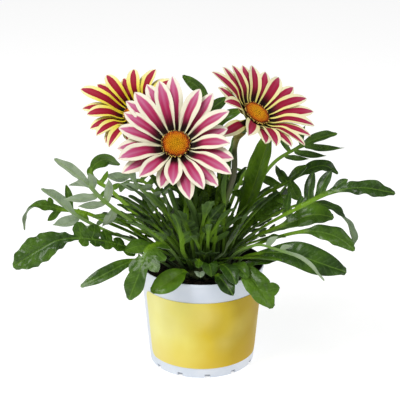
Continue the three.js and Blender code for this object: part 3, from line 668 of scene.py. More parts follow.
def grow_leaf(plan, look, draw):
    """A leaf's flat triangles, its top and under points, and the numbers that its skins read."""
    midrib, _, rows = plan
    length = midrib["length"]
    loops, veins, branches = leaf_outline(plan, look, draw)
    flat, faces = filled(loops, veins, FILL_SPACING)

    # How far the surface rises off the drawing: halves that arch, a groove along the midrib, margins
    # that wave, and puckers between the side veins.
    along, across = flat[:, 0], flat[:, 1]
    is_left = across >= 0
    half_left, rise_left = edge_curve(rows[1], length, along, look)
    half_right, rise_right = edge_curve(rows[-1], length, along, look)
    half = np.maximum(np.where(is_left, half_left, half_right), 0.4)
    rise = np.where(is_left, rise_left, rise_right)
    x = np.clip(np.abs(across) / half, 0, 1.25)
    broad = smooth_step(half, 2.2, 5.0)
    phase = np.where(is_left, draw.uniform(0, FULL_TURN), draw.uniform(0, FULL_TURN))
    height = rise * x ** 2 + look["bulge"] * half * x * (1 - x) * 2
    height += look["wave"] * broad * x ** 2 * np.sin(FULL_TURN * along / look["ripple"] + phase)
    slant = (along - VEIN_SLOPE * np.abs(across)) / VEIN_GAP
    height += look["pucker"] * broad * np.sin(np.pi * np.clip(x, 0, 1)) * np.cos(FULL_TURN * slant)
    seed = draw.uniform(0, 50)
    cells = lumpy(np.column_stack([flat, 0 * along]), CRUMPLE_SIZE, 1.0, seed)
    height += look["crumple"] * broad * np.sin(np.pi * np.clip(0.1 + 0.8 * x, 0, 1)) * (1 - 2 * np.abs(cells))
    height += look["fold"] * broad * np.abs(across) - 0.35 * np.exp(-(across / 0.8) ** 2)
    for line, sideways, share, width, tip_rise, reach, lean in branches:
        away = flat[:, None] - line
        nearest = np.linalg.norm(away, axis=2).argmin(axis=1)
        picked = np.arange(len(flat)), nearest
        offset = (away[picked] * sideways[nearest]).sum(axis=1)
        t = share[nearest]
        mine = np.abs(offset) <= width[nearest] + 0.3
        sway = tip_rise * t ** 2 + lean * look["droop"] * reach * t ** 2
        rounded = -0.10 * offset ** 2 / np.maximum(width[nearest], 0.8) - 0.3 * np.exp(-(offset / 0.7) ** 2)
        rounded = rounded + look["fold"] * np.abs(offset) + 0.5 * look["crumple"] * (1 - 2 * np.abs(cells))
        blend = smooth_step(t, 0.10, 0.38) * mine
        height = height * (1 - blend) + (sway + rounded) * blend
    place = along / length
    rib = np.interp(place, [0, 0.45, 0.8, 1], [1.9, 1.3, 0.8, 0.2]) * np.exp(-(across / 1.5) ** 2)
    thick = 0.35 + rib
    stem = (1 - smooth_step(half, 2.0, 4.2)) * (1 - smooth_step(np.abs(across), 1.8, 3.6))
    return {
        "faces": faces,
        "top": to_space(midrib, along, across, height),
        "under": to_space(midrib, along, across, height - thick),
        "blade": np.stack([0.5 + across / UV_SIDE, along / UV_SIDE], axis=1),
        "vein": np.minimum(off_lines(flat, veins[:1]), off_lines(flat, veins) + LOBE_VEIN_THINNER),
        "stem": stem * (1 - smooth_step(place, *look["stem_to"])),
        "place": place,
        "tone": np.full(len(flat), draw.random()),
    }


def leaf_piece(name, grown, materials, stands_for):
    """One piece from one or more grown leaves."""
    counts = [len(leaf["top"]) for leaf in grown]
    starts = np.cumsum([0, *counts[:-1]])
    stack = {key: np.concatenate([leaf[key] for leaf in grown]) for key in grown[0] if key != "faces"}
    faces = np.vstack([leaf["faces"] + start for leaf, start in zip(grown, starts)])
    made = two_sided(name, stack["top"], stack["under"], faces, materials, stands_for)
    write_uv(made, "blade", np.vstack([stack["blade"], stack["blade"]]))
    for label in ("vein", "stem", "place", "tone"):
        write_number(made, label, np.tile(stack[label], 2))
    return len(made.data.polygons)


# %% [markdown]
# ## Leaf skins
# A gazania leaf is waxy green above and white felt below, so a leaf that turns over shows a second
# colour. The wax is a thin coat over a fairly smooth surface, and gives broad pale highlights. The felt
# scatters light like cloth, so it is rough with a little sheen. Both carry the veins: the main ones from
# the distance that each point was given, and the side veins as slanted lines on the leaf's own map.
# Two skins are copies with painted light: leaves in the plant's middle get a dark green felt below as
# painted shade, and one upright leaf a brighter olive wax as painted light. Each stalk also darkens
# to its foot, partly its own colour and partly painted shade near the crown.

# %% A leaf's skin
# Sizes in mm. The cells of a real skin are too fine to show, so the grain is drawn coarser than they are.
BLOTCH = 14
GRAIN = 1.6
PUCKER = 4.0
SIDE_VEIN_SHOWS = 0.16
MAIN_VEIN_SHOWS = 0.6


def leaf_skin(name, colours, relief, constants):
    """A leaf surface from the colours of its blade, side veins, main veins, stalk and the stalk's darker
    foot, which is partly painted shade.
    """
    material, tree, shader = new_finish(name, constants)
    space = add(tree, "ShaderNodeTexCoord").outputs["Object"]
    vein, stem, tone, share = (
        add(tree, "ShaderNodeAttribute", attribute_name=label).outputs["Fac"]
        for label in ("vein", "stem", "tone", "place")
    )
    blotch = add(tree, "ShaderNodeTexNoise", {"Vector": space, "Scale": 1 / (BLOTCH * MM), "Detail": 4})
    shade = add(tree, "ShaderNodeMath", {0: tone, 1: 0.4, 2: blotch.outputs["Fac"]}, operation="MULTIPLY_ADD")
    base = add(tree, "ShaderNodeValToRGB", {"Fac": shade.outputs[0]}, colours["blade"])

    # Side veins run forward from the midrib, one for every step of the puckers, and lie in their dips.
    mapped = add(tree, "ShaderNodeUVMap", uv_map="blade").outputs["UV"]
    place = add(tree, "ShaderNodeSeparateXYZ", {0: mapped}).outputs
    off = add(tree, "ShaderNodeMath", {0: place["X"], 1: 0.5}, operation="SUBTRACT")
    wide = add(tree, "ShaderNodeMath", {0: off.outputs[0]}, operation="ABSOLUTE")
    back = add(tree, "ShaderNodeMath", {
        0: wide.outputs[0], 1: -VEIN_SLOPE, 2: place["Y"],
    }, operation="MULTIPLY_ADD")
    turns = add(tree, "ShaderNodeMath", {0: back.outputs[0], 1: UV_SIDE / VEIN_GAP}, operation="MULTIPLY")
    sway = add(tree, "ShaderNodeMath", {
        0: blotch.outputs["Fac"], 1: 0.5, 2: turns.outputs[0],
    }, operation="MULTIPLY_ADD")
    saw = add(tree, "ShaderNodeMath", {0: sway.outputs[0]}, operation="FRACT")
    middle = add(tree, "ShaderNodeMath", {0: saw.outputs[0], 1: 0.75}, operation="SUBTRACT")
    apart = add(tree, "ShaderNodeMath", {0: middle.outputs[0]}, operation="ABSOLUTE")
    line = add(tree, "ShaderNodeMapRange", {0: apart.outputs[0], 1: 0.02, 2: 0.15, 3: 1.0, 4: 0.0})
    on_blade = add(tree, "ShaderNodeMapRange", {0: stem, 1: 0.0, 2: 0.6, 3: 1.0, 4: 0.0})
    side = add(tree, "ShaderNodeMath", {0: line.outputs[0], 1: on_blade.outputs[0]}, operation="MULTIPLY")
    faint = add(tree, "ShaderNodeMath", {0: side.outputs[0], 1: SIDE_VEIN_SHOWS}, operation="MULTIPLY")
    main = add(tree, "ShaderNodeMapRange", {0: vein, 1: 0.2, 2: 0.8, 3: MAIN_VEIN_SHOWS, 4: 0.0})
    # The stalk darkens to its foot near the crown: partly its own colour, partly painted shade.
    foot = add(tree, "ShaderNodeMapRange", {0: share, 1: 0.05, 2: 0.45, 3: 1.0, 4: 0.0})
    stalk = add(tree, "ShaderNodeMix", {
        0: foot.outputs[0], 6: linear(colours["stalk"]), 7: linear(colours["foot"]),
    }, data_type="RGBA")
    colour = base.outputs["Color"]
    for amount, over in (
        (faint.outputs[0], linear(colours["side_vein"])),
        (main.outputs[0], linear(colours["main_vein"])),
        (stem, stalk.outputs[2]),
    ):
        colour = add(tree, "ShaderNodeMix", {0: amount, 6: colour, 7: over}, data_type="RGBA").outputs[2]

    grain = add(tree, "ShaderNodeTexNoise", {"Vector": space, "Scale": 1 / (GRAIN * MM), "Detail": 2})
    dips = add(tree, "ShaderNodeMath", {
        0: side.outputs[0], 1: -0.4, 2: grain.outputs["Fac"],
    }, operation="MULTIPLY_ADD")
    cells = add(tree, "ShaderNodeTexVoronoi", {
        "Vector": space, "Scale": 1 / (PUCKER * MM), "Smoothness": 0.6,
    }, feature="SMOOTH_F1")
    domes = add(tree, "ShaderNodeMath", {
        0: cells.outputs["Distance"], 1: -1.6, 2: dips.outputs[0],
    }, operation="MULTIPLY_ADD")
    end_finish(tree, shader, colour, domes.outputs[0], relief, 0.8)
    return material


# %% The leaves' finishes
WAXED = {"Roughness": 0.5, "Specular IOR Level": 0.2, "Coat Weight": 0.32, "Coat Roughness": 0.22}
FELTED = {"Roughness": 0.7, "Specular IOR Level": 0.3, "Sheen Weight": 0.06, "Sheen Roughness": 0.5}
SKINS = {
    "leaf_dark": leaf_skin("leaf_waxed_dark_green", {
        "blade": ((0.35, "#183004"), (0.6, "#2C4C06"), (0.95, "#4E7212")), "side_vein": "#4E701C",
        "main_vein": "#5E8224", "stalk": "#688E14", "foot": "#2A4406",
    }, 0.8, WAXED),
    "leaf_bright": leaf_skin("leaf_waxed_olive_green", {
        "blade": ((0.35, "#2E4E04"), (0.6, "#446A08"), (0.95, "#5E8414")), "side_vein": "#56781C",
        "main_vein": "#6C8E2C", "stalk": "#6C9216", "foot": "#324E08",
    }, 0.4, WAXED),
    "leaf_silver": leaf_skin("leaf_grey_down", {
        "blade": ((0.35, "#4C6048"), (0.6, "#6A7E62"), (0.95, "#96A68C")), "side_vein": "#8A9A7C",
        "main_vein": "#A2B286", "stalk": "#8EA276", "foot": "#5E7648",
    }, 0.7, FELTED),
    "felt": leaf_skin("leaf_white_felt", {
        "blade": ((0.35, "#5C7050"), (0.6, "#748868"), (0.95, "#94A486")), "side_vein": "#98A888",
        "main_vein": "#86A25A", "stalk": "#6A8C34", "foot": "#223A0A",
    }, 0.3, FELTED),
    # Painted shade: a dark green copy of the felt, for the undersides of leaves deep in the plant.
    "felt_painted_shade": leaf_skin("leaf_felt_painted_shade", {
        "blade": ((0.35, "#283F10"), (0.6, "#385518"), (0.95, "#507028")), "side_vein": "#56782E",
        "main_vein": "#668A2A", "stalk": "#6C9416", "foot": "#2A4408",
    }, 0.3, FELTED),
    # Painted light: a brighter copy of the olive wax, for a leaf that stands in shade.
    "leaf_olive_painted_light": leaf_skin("leaf_waxed_olive_painted_light", {
        "blade": ((0.35, "#44660A"), (0.6, "#5A8010"), (0.95, "#74981E")), "side_vein": "#6C9030",
        "main_vein": "#84A63C", "stalk": "#7CA222", "foot": "#40600C",
    }, 0.4, WAXED),
}

# %% Every leaf that the frame holds
BRIGHT_LEAVES = ("front_left_oval", "right_bright", "upright_broad")
SILVER_LEAVES = (
    "front_tiny", "left_silver_long", "left_silver_low", "right_silver_thin", "front_right_grey",
    "left_back_tall", "centre_small", "pale_strap",
)
# The upright broad leaf wears the painted-light olive on its top as well as below.
OWN_SKINS = {
    "front_right_grey": "leaf_dark", "left_back_curl": "leaf_bright", "centre_small": "leaf_bright",
    "upright_broad": "leaf_olive_painted_light",
}
# Undersides that get the painted-light olive.
PAINTED_LIGHT_BACKS = ("upright_broad",)
CENTRE_LEAVES = (
    "centre_small", "centre_left", "centre_front", "pale_strap", "left_strap", "back_middle",
    "back_middle_left", "back_middle_right", "back_left", "back_right", "back_left_low", "back_right_low",
    "right_dark_broad", "upright_broad", "upright_tall", "upright_back_1", "upright_back_2", "right_tucked",
    "front_right_lip",
)
SLOTS = {**dict.fromkeys(SILVER_LEAVES, "leaf_silver"), **dict.fromkeys(BRIGHT_LEAVES, "leaf_bright")}
# Undersides in the plant's middle get the painted-shade felt, and the upright broad leaf the painted-light
# olive.
UNDER_SKINS = {**dict.fromkeys(CENTRE_LEAVES, "felt_painted_shade"), **dict.fromkeys(PAINTED_LIGHT_BACKS, "leaf_olive_painted_light")}
faces_made = 0
for node in sorted(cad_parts):
    if node.startswith("leaf_"):
        name = node.removeprefix("leaf_")
        slot = SLOTS.get(name, "leaf_dark")
        grown = grow_leaf(leaf_plan(node), {**LOOK, **LOOKS.get(name, {})}, random.Random(node))
        skins = [SKINS[OWN_SKINS.get(name, slot)], SKINS[UNDER_SKINS.get(name, "felt")]]
        faces_made += leaf_piece(f"{node}_fine", [grown], skins, [node])
print("leaf faces:", faces_made)

# %% [markdown]
# ## The heart of the plant
# Between the leaves that have CAD solids of their own stand dozens of younger ones, and it is their
# stalks that make the middle of the plant dense and dark. They are grown by the same function from plans
# that a few seeded numbers give: where each leaves the crown, how far and how high it reaches, and its
# widths. They are joined in rings, because none of them is seen whole.

# %% Younger leaves
CROWN_TOP = 98
FARTHEST_FORWARD = 80


def young_plan(draw, azimuth, reach, height):
    """The plan of a leaf that leaves the crown in a direction and ends so far out and so high."""
    way = np.array([math.cos(azimuth), math.sin(azimuth), 0])
    left = np.array([-way[1], way[0], 0])
    start = way * draw.uniform(4, 24) + left * draw.uniform(-6, 6) + (0, 0, CROWN_TOP)
    end = way * reach + left * draw.uniform(-8, 8) + (0, 0, height)
    bend = start + (end - start) * 0.45 + (0, 0, 0.30 * (height - CROWN_TOP)) + left * draw.uniform(-5, 5)
    share = np.linspace(0, 1, 12)[:, None]
    tops = (1 - share) ** 2 * start + 2 * share * (1 - share) * bend + share ** 2 * end
    midrib = midrib_of(tops, unit(np.cross(np.gradient(tops, axis=0), left)))
    length = midrib["length"]
    blade = draw.uniform(3.0, 5.5)
    from_share = draw.uniform(0.58, 0.68)
    widest = draw.uniform(0.81, 0.87)
    between = (from_share + widest) / 2
    rows = [
        (0, 1.7, 0), (0.25 * length, 1.4, 0.1), (from_share * length, 1.4, 0.2),
        (between * length, blade * 0.75, 0.6), (widest * length, blade, 0.8),
        (0.94 * length, blade * 0.7, 0.4),
    ]
    lobes = {1: [], -1: []}
    for k in range(draw.choice((0, 0, 1, 2, 3))):
        root = (0.45 + 0.09 * k) * length
        for side in lobes:
            tip = root + draw.uniform(6, 9)
            lobes[side].append((root, tip, side * draw.uniform(8, 13), draw.uniform(-1, 3)))
    return midrib, lobes, {1: np.array(rows), -1: np.array(rows)}


# Each ring: how many leaves, how far out their tips are and how high, in mm, and its sector in degrees.
YOUNG_RINGS = {
    "inner": (16, (12, 40), (150, 190), (0, 360)),
    "middle": (18, (40, 75), (140, 180), (0, 360)),
    "low": (12, (34, 52), (104, 122), (0, 360)),
    "outer": (14, (70, 108), (118, 162), (0, 360)),
    "upright": (10, (8, 38), (182, 214), (5, 150)),
    "left": (11, (52, 96), (124, 166), (150, 225)),
}
for ring, (count, reaches, heights, (start, end)) in YOUNG_RINGS.items():
    draw = random.Random(ring)
    grown = []
    for k in range(count):
        azimuth = math.radians(start + (k + draw.uniform(-0.3, 0.3)) / count * (end - start))
        room = FARTHEST_FORWARD / max(0.01, -math.sin(azimuth))
        plan = young_plan(draw, azimuth, min(room, draw.uniform(*reaches)), draw.uniform(*heights))
        grown.append(grow_leaf(plan, LOOK, draw))
    # The young leaves' undersides get the painted-shade felt.
    skins = [SKINS["leaf_dark"], SKINS["felt_painted_shade"]]
    faces_made += leaf_piece(f"young_leaves_{ring}", grown, skins, [])
print("leaf faces with the young ones:", faces_made)

# %% [markdown]
# ## Geometry Nodes for what repeats
# Florets, crumbs and notches come in their dozens, and a stalk follows a line. Each is a rule, so each is
# a small node tree with named inputs. A tree is run once on a mesh of its own, its result is kept as a
# plain mesh, and the tree's object goes away, so nothing live is left on any piece.

# %% Building and running a tree
def new_tree(name, sockets):
    """A geometry tree with inputs given as name, socket type and default, and its input node's outputs."""
    tree = bpy.data.node_groups.new(name, "GeometryNodeTree")
    for label, kind, value in sockets:
        socket = tree.interface.new_socket(label, in_out="INPUT", socket_type=kind)
        if value is not None:
            socket.default_value = value
    tree.interface.new_socket("Geometry", in_out="OUTPUT", socket_type="NodeSocketGeometry")
    return tree, add(tree, "NodeGroupInput").outputs


def end_tree(tree, geometry, material):
    """Closes a tree: instances become real, and the result gets its material."""
    real = add(tree, "GeometryNodeRealizeInstances", {"Geometry": geometry})
    finished = add(tree, "GeometryNodeSetMaterial", {"Geometry": real.outputs[0], "Material": material})
    add(tree, "NodeGroupOutput", {"Geometry": finished.outputs[0]})


def run_tree(tree, values, mesh=None):
    """The plain mesh that a tree makes with these input values, from a mesh or from nothing."""
    holder = bpy.data.objects.new(tree.name, mesh or bpy.data.meshes.new(tree.name))
    bpy.context.scene.collection.objects.link(holder)
    modifier = holder.modifiers.new("grown", "NODES")
    modifier.node_group = tree
    for item in tree.interface.items_tree:
        if item.in_out == "INPUT" and item.name in values:
            modifier[item.identifier] = values[item.name]
    made = bpy.data.meshes.new_from_object(holder.evaluated_get(bpy.context.evaluated_depsgraph_get()))
    bpy.data.objects.remove(holder)
    return made


def points_of(mesh):
    """A mesh's points as an array in mm."""
    points = np.zeros(len(mesh.vertices) * 3)
    mesh.vertices.foreach_get("co", points)
    return points.reshape(-1, 3) / MM


def faces_of(mesh):
    """A mesh's faces as lists of point numbers."""
    return [list(face.vertices) for face in mesh.polygons]


# %% [markdown]
# ## Where each flower sits
# The disc and the involucre are turned shapes on one axis, so the line between their middles is the way
# the flower faces. The CAD rays give each petal's tip: the one point of a petal that is farther from the
# axis than every point joined to it.

# %% Reading a flower
FLOWERS = ("middle", "right", "left")
SHORTEST_PETAL = 22


def flower_seat(flower):
    """The middle of a disc's underside, and the flower's own right, up and out directions."""
    disc, _ = joined(f"{flower}_flower_disc")
    cup, _ = joined(f"{flower}_flower_involucre")
    middle = disc.mean(axis=0)
    out = unit(middle - cup.mean(axis=0))
    foot = middle + out * ((disc - middle) @ out).min()
    right = unit(np.cross((0, 0, 1), out))
    print(f"{flower} flower faces", out.round(2))
    return foot, right, np.cross(out, right), out


def from_seat(seat, local):
    """Points in space from a flower's own right, up and out in mm."""
    foot, right, up, out = seat
    return foot + local[:, :1] * right + local[:, 1:2] * up + local[:, 2:] * out


def ray_tips(flower, seat):
    """The tips of the petals, in order round the flower."""
    foot, right, up, out = seat
    points, beside = joined(f"{flower}_flower_rays")
    off = points - foot
    reach = np.linalg.norm(off - (off @ out)[:, None] * out, axis=1)
    far = np.flatnonzero(reach > SHORTEST_PETAL)
    tips = [i for i in far if all(reach[j] < reach[i] for j in beside[i])]
    tips.sort(key=lambda i: math.atan2(off[i] @ up, off[i] @ right))
    return points[tips]


SEATS = {flower: flower_seat(flower) for flower in FLOWERS}
TIPS = {flower: ray_tips(flower, SEATS[flower]) for flower in FLOWERS}
print("petals:", {flower: len(tips) for flower, tips in TIPS.items()})

# %% [markdown]
# ## Petal skins
# A ray floret is a thin, silky petal whose pigment lies in stripes along its veins: a coloured stripe
# down the middle, pale margins and a near-black foot. Every point carries how many millimetres it lies
# outside the stripe and how far up the petal, so the stripe keeps its shape on every petal, and noise
# stretched along the petal frays its edge as real veins do. The back shows a dull band on cream.

# %% A petal's skin
def petal_skin(name, margin, stripe, foot, foot_ends, fray, middle_line, constants):
    """A petal's face: margin and stripe colours along it, where its dark foot ends, and a paler line."""
    material, tree, shader = new_finish(name, constants)
    off_stripe, share, up_petal, off_middle, tone = (
        add(tree, "ShaderNodeAttribute", attribute_name=label).outputs["Fac"]
        for label in ("off_stripe", "share", "up_petal", "off_middle", "tone")
    )
    length = add(tree, "ShaderNodeMath", {0: up_petal, 1: 0.06}, operation="MULTIPLY")
    far = add(tree, "ShaderNodeMath", {0: tone, 1: 37.0}, operation="MULTIPLY")
    drawn = add(tree, "ShaderNodeCombineXYZ", {0: off_middle, 1: length.outputs[0], 2: far.outputs[0]})
    streak = add(tree, "ShaderNodeTexNoise", {
        "Vector": drawn.outputs[0], "Scale": 1.1, "Detail": 3,
    }).outputs["Fac"]

    frayed = add(tree, "ShaderNodeMath", {0: streak, 1: fray, 2: off_stripe}, operation="MULTIPLY_ADD")
    in_stripe = add(tree, "ShaderNodeMapRange", {
        0: frayed.outputs[0], 1: 0.2 * fray, 2: 0.8 * fray, 3: 1.0, 4: 0.0,
    }, interpolation_type="SMOOTHSTEP").outputs[0]
    paced = add(tree, "ShaderNodeMath", {0: share, 1: 0.8}, operation="MULTIPLY")
    varied = add(tree, "ShaderNodeMath", {0: streak, 1: 0.2, 2: paced.outputs[0]}, operation="MULTIPLY_ADD")
    edge = add(tree, "ShaderNodeValToRGB", {"Fac": share}, margin).outputs["Color"]
    band = add(tree, "ShaderNodeValToRGB", {"Fac": varied.outputs[0]}, stripe).outputs["Color"]
    toothed = add(tree, "ShaderNodeMath", {0: streak, 1: 9.0, 2: up_petal}, operation="MULTIPLY_ADD")
    in_foot = add(tree, "ShaderNodeMapRange", {
        0: toothed.outputs[0], 1: foot_ends[0] + 4.5, 2: foot_ends[1] + 4.5, 3: 1.0, 4: 0.0,
    }, interpolation_type="SMOOTHSTEP").outputs[0]
    off_axis = add(tree, "ShaderNodeMath", {0: off_middle}, operation="ABSOLUTE").outputs[0]
    near_axis = add(tree, "ShaderNodeMapRange", {0: off_axis, 1: 0.2, 2: 1.7, 3: 1.0, 4: 0.0}).outputs[0]
    line_colour, line_shows = middle_line
    far_up = add(tree, "ShaderNodeMapRange", {0: share, 1: 0.3, 2: 0.75, 3: 0.0, 4: line_shows}).outputs[0]
    paler = add(tree, "ShaderNodeMath", {0: near_axis, 1: far_up}, operation="MULTIPLY").outputs[0]
    lined = add(tree, "ShaderNodeMix", {
        0: paler, 6: band, 7: linear(line_colour),
    }, data_type="RGBA").outputs[2]
    dark = add(tree, "ShaderNodeMix", {0: in_foot, 6: lined, 7: linear(foot)}, data_type="RGBA").outputs[2]
    colour = add(tree, "ShaderNodeMix", {0: in_stripe, 6: edge, 7: dark}, data_type="RGBA").outputs[2]
    end_finish(tree, shader, colour, streak, 0.5, 0.5)
    return material


# %% The petals' finishes
SILKY = {"Roughness": 0.55, "Specular IOR Level": 0.12}
PETAL_SKINS = {
    "middle": petal_skin(
        "petal_white_rose_striped",
        ((0.0, "#D6D094"), (0.3, "#E2DCC0"), (1.0, "#E6E0D0")),
        ((0.1, "#520A20"), (0.3, "#84123A"), (0.5, "#A2244F"), (0.75, "#B8507A"), (1.0, "#CC8AA6")),
        "#1A0806", (9, 19), 2.0, ("#BC7896", 0.5), SILKY,
    ),
    "right": petal_skin(
        "petal_cream_crimson_striped",
        ((0.0, "#D8C63C"), (0.3, "#E4DA82"), (0.7, "#E8E2B6"), (1.0, "#E8E2C8")),
        ((0.1, "#480510"), (0.35, "#880B28"), (0.7, "#A01E40"), (1.0, "#B24E6C")),
        "#180504", (10, 19), 0.9, ("#A8506C", 0.25), SILKY,
    ),
    "left": petal_skin(
        "petal_yellow_crimson_striped",
        ((0.0, "#CFB20C"), (0.25, "#DCC828"), (0.5, "#E2D558"), (0.75, "#E6DE98"), (1.0, "#E8E2B8")),
        ((0.1, "#50060E"), (0.35, "#860A20"), (0.7, "#9A122C"), (1.0, "#AA3C56")),
        "#180504", (8, 16), 0.8, ("#A8425C", 0.2), SILKY,
    ),
}
PETAL_BACK = petal_skin(
    "petal_back_cream_banded",
    ((0.0, "#A9A54C"), (0.3, "#CFCB8A"), (1.0, "#DAD6A8")),
    ((0.0, "#7E7E3C"), (0.5, "#A8986A"), (1.0, "#B08A84")),
    "#5A6A2C", (2, 8), 2.4, ("#A89A78", 0.2), {**SILKY, "Roughness": 0.65},
)

# %% [markdown]
# ## Petals
# Each petal is a grid bent along a line: it leaves the receptacle narrow and straight, clears the disc's
# rim, swells to its widest at two thirds and closes to a blunt point. Its width, arch and curl are given
# for each flower, and it ends at its CAD tip. Every second petal lies a layer lower, as the real ones do,
# because they overlap, and a little chance keeps any two from being alike. One closed piece holds the ring.

# %% Sizes and looks of the petals
PETAL_ROWS = 34
PETAL_COLUMNS = 12
PETAL_START = 7.5
PETAL_SINK = -1.3
PETAL_LAYER = 1.4
PETAL_SHAPE = np.array([
    (0.0, 0.28), (0.12, 0.42), (0.28, 0.66), (0.45, 0.90), (0.60, 1.0), (0.74, 0.92), (0.85, 0.70),
    (0.94, 0.40), (1.0, 0.03),
])
PETAL_STRAIGHT = 0.17
PETAL_BENT = 0.42
PETAL_LOOKS = {
    "middle": {
        "half": 7.4, "arch": 0.07, "curl": 0.02,
        "stripe": ((0, 0.9), (0.15, 0.76), (0.4, 0.54), (0.8, 0.45), (0.93, 0.26), (1, 0.0)),
    },
    "right": {
        "half": 6.8, "arch": 0.09, "curl": 0.02,
        "stripe": ((0, 0.9), (0.2, 0.68), (0.5, 0.52), (0.8, 0.49), (0.94, 0.38), (1, 0.2)),
    },
    "left": {
        "half": 6.1, "arch": 0.13, "curl": 0.06,
        "stripe": ((0, 0.85), (0.2, 0.6), (0.5, 0.51), (0.8, 0.5), (0.94, 0.4), (1, 0.25)),
    },
}


# %% Growing one petal
def grow_petal(seat, tip, layer, look, draw):
    """One petal's points, above and below, and the numbers that its skin reads, on a grid."""
    foot, _, _, out = seat
    off = tip - foot
    way = unit(off - (off @ out) * out)
    root = foot + way * PETAL_START + out * (PETAL_SINK + 0.5 * layer)
    share = np.linspace(0, 1, PETAL_ROWS)[:, None]
    across = np.linspace(-1, 1, PETAL_COLUMNS + 1)[None, :]
    length = np.linalg.norm(tip - root)
    arch = look["arch"] + draw.uniform(-0.012, 0.012)
    side = np.cross(out, way)
    bow = draw.uniform(-0.025, 0.025) * length * np.sin(np.pi * share)
    raised = arch * 4 * share * (1 - share) + look["curl"] * (share - share ** 4)
    clear = smooth_step(share, PETAL_STRAIGHT, PETAL_BENT)
    line = root + (tip - root) * share + out * raised * clear * length + side * bow
    line = line + out * layer * smooth_step(share, 0.05, 0.5) * (1 - 0.4 * share)
    ahead = unit(np.gradient(line, axis=0))
    left = unit(np.cross(out, ahead))
    up = np.cross(ahead, left)
    turn = draw.uniform(-0.1, 0.1) * share + draw.uniform(-0.03, 0.03)
    left, up = left * np.cos(turn) + up * np.sin(turn), up * np.cos(turn) - left * np.sin(turn)
    swelling = through(PETAL_SHAPE[:, 0], PETAL_SHAPE[:, 1:], share[:, 0])
    half = look["half"] * draw.uniform(0.92, 1.07) * swelling
    x = half * across
    broad = half / look["half"]
    cup = 0.9 if layer > 0 else -0.5
    middle_groove = 0.25 * np.exp(-(x / 0.6) ** 2)
    side_grooves = 0.16 * np.exp(-((np.abs(x) - 2.4) / 0.7) ** 2)
    rise = cup * across ** 2 * broad - middle_groove - side_grooves
    waves = np.sin(share * draw.uniform(9, 15) + draw.uniform(0, 6) + across * 2)
    rise = rise + 0.18 * broad * across ** 2 * waves
    top = line[:, None] + left[:, None] * x[..., None] + up[:, None] * rise[..., None]
    thick = 0.28 + 0.35 * np.exp(-(x / 2.0) ** 2) + 0.6 * (1 - share) ** 6
    stripe = np.array(look["stripe"])
    stripe_half = through(stripe[:, 0], stripe[:, 1:], share[:, 0]) * draw.uniform(0.88, 1.1)
    numbers = {
        "off_stripe": (np.abs(across) - stripe_half) * half, "off_middle": x, "share": share,
        "up_petal": share * length, "tone": draw.random(),
    }
    return {
        "top": top.reshape(-1, 3),
        "under": (top - up[:, None] * thick[..., None]).reshape(-1, 3),
        **{label: np.broadcast_to(values, x.shape).ravel() for label, values in numbers.items()},
    }


def grid_faces(rows, columns):
    """Triangles over a grid of rows x columns points."""
    corner = (np.arange(rows - 1)[:, None] * columns + np.arange(columns - 1)).ravel()
    one = np.stack([corner, corner + columns + 1, corner + 1], axis=1)
    other = np.stack([corner, corner + columns, corner + columns + 1], axis=1)
    return np.vstack([one, other])


# %% The three rings of petals
for flower in FLOWERS:
    draw = random.Random(flower)
    grown = []
    for k, tip in enumerate(TIPS[flower]):
        last_odd = k == len(TIPS[flower]) - 1 and k % 2 == 0
        layer = 0.0 if last_odd else PETAL_LAYER * (1 if k % 2 else -1)
        layer += draw.uniform(-0.15, 0.15)
        grown.append(grow_petal(SEATS[flower], tip, layer, PETAL_LOOKS[flower], draw))
    size = len(grown[0]["top"])
    single = grid_faces(PETAL_ROWS, PETAL_COLUMNS + 1)
    stack = {key: np.concatenate([petal[key] for petal in grown]) for key in grown[0]}
    faces = np.vstack([single + size * k for k in range(len(grown))])
    made = two_sided(
        f"{flower}_petals", stack["top"], stack["under"], faces, [PETAL_SKINS[flower], PETAL_BACK],
        [f"{flower}_flower_rays"],
    )
    for label in ("off_stripe", "off_middle", "share", "up_petal", "tone"):
        write_number(made, label, np.tile(stack[label], 2))
    print(flower, "petals:", len(made.data.polygons), "faces")

# %% [markdown]
# ## The disc
# The middle of a gazania is a packed spiral of small tube florets: tight golden buds in the middle, open
# dark ones with yellow anthers at the rim. Seeds and florets take the golden angle, each turned about
# 137.5 degrees from the last, so one node tree sets every floret from its number alone.

# %% The room that a disc's solid gives
def disc_reach(flower):
    """How far a disc's solid reaches from its own axis, in mm."""
    foot, _, _, out = SEATS[flower]
    points, _ = joined(f"{flower}_flower_disc")
    off = points - foot
    return float(np.linalg.norm(off - (off @ out)[:, None] * out, axis=1).max())


DISC_RADIUS = min(disc_reach(flower) for flower in FLOWERS)
RIM_FLORET_LONG = 1.8
DISC_UNDER = ((0.62, 1.0), (0.0, 2.6))
DISC_BASE = ((0.88, 1.8), (0.85, 2.2), (0.78, 2.6), (0.65, 3.3), (0.43, 4.0), (0, 4.3))
FLORETS_LIFTED = 2.2
print("disc radius in mm:", round(DISC_RADIUS, 2))

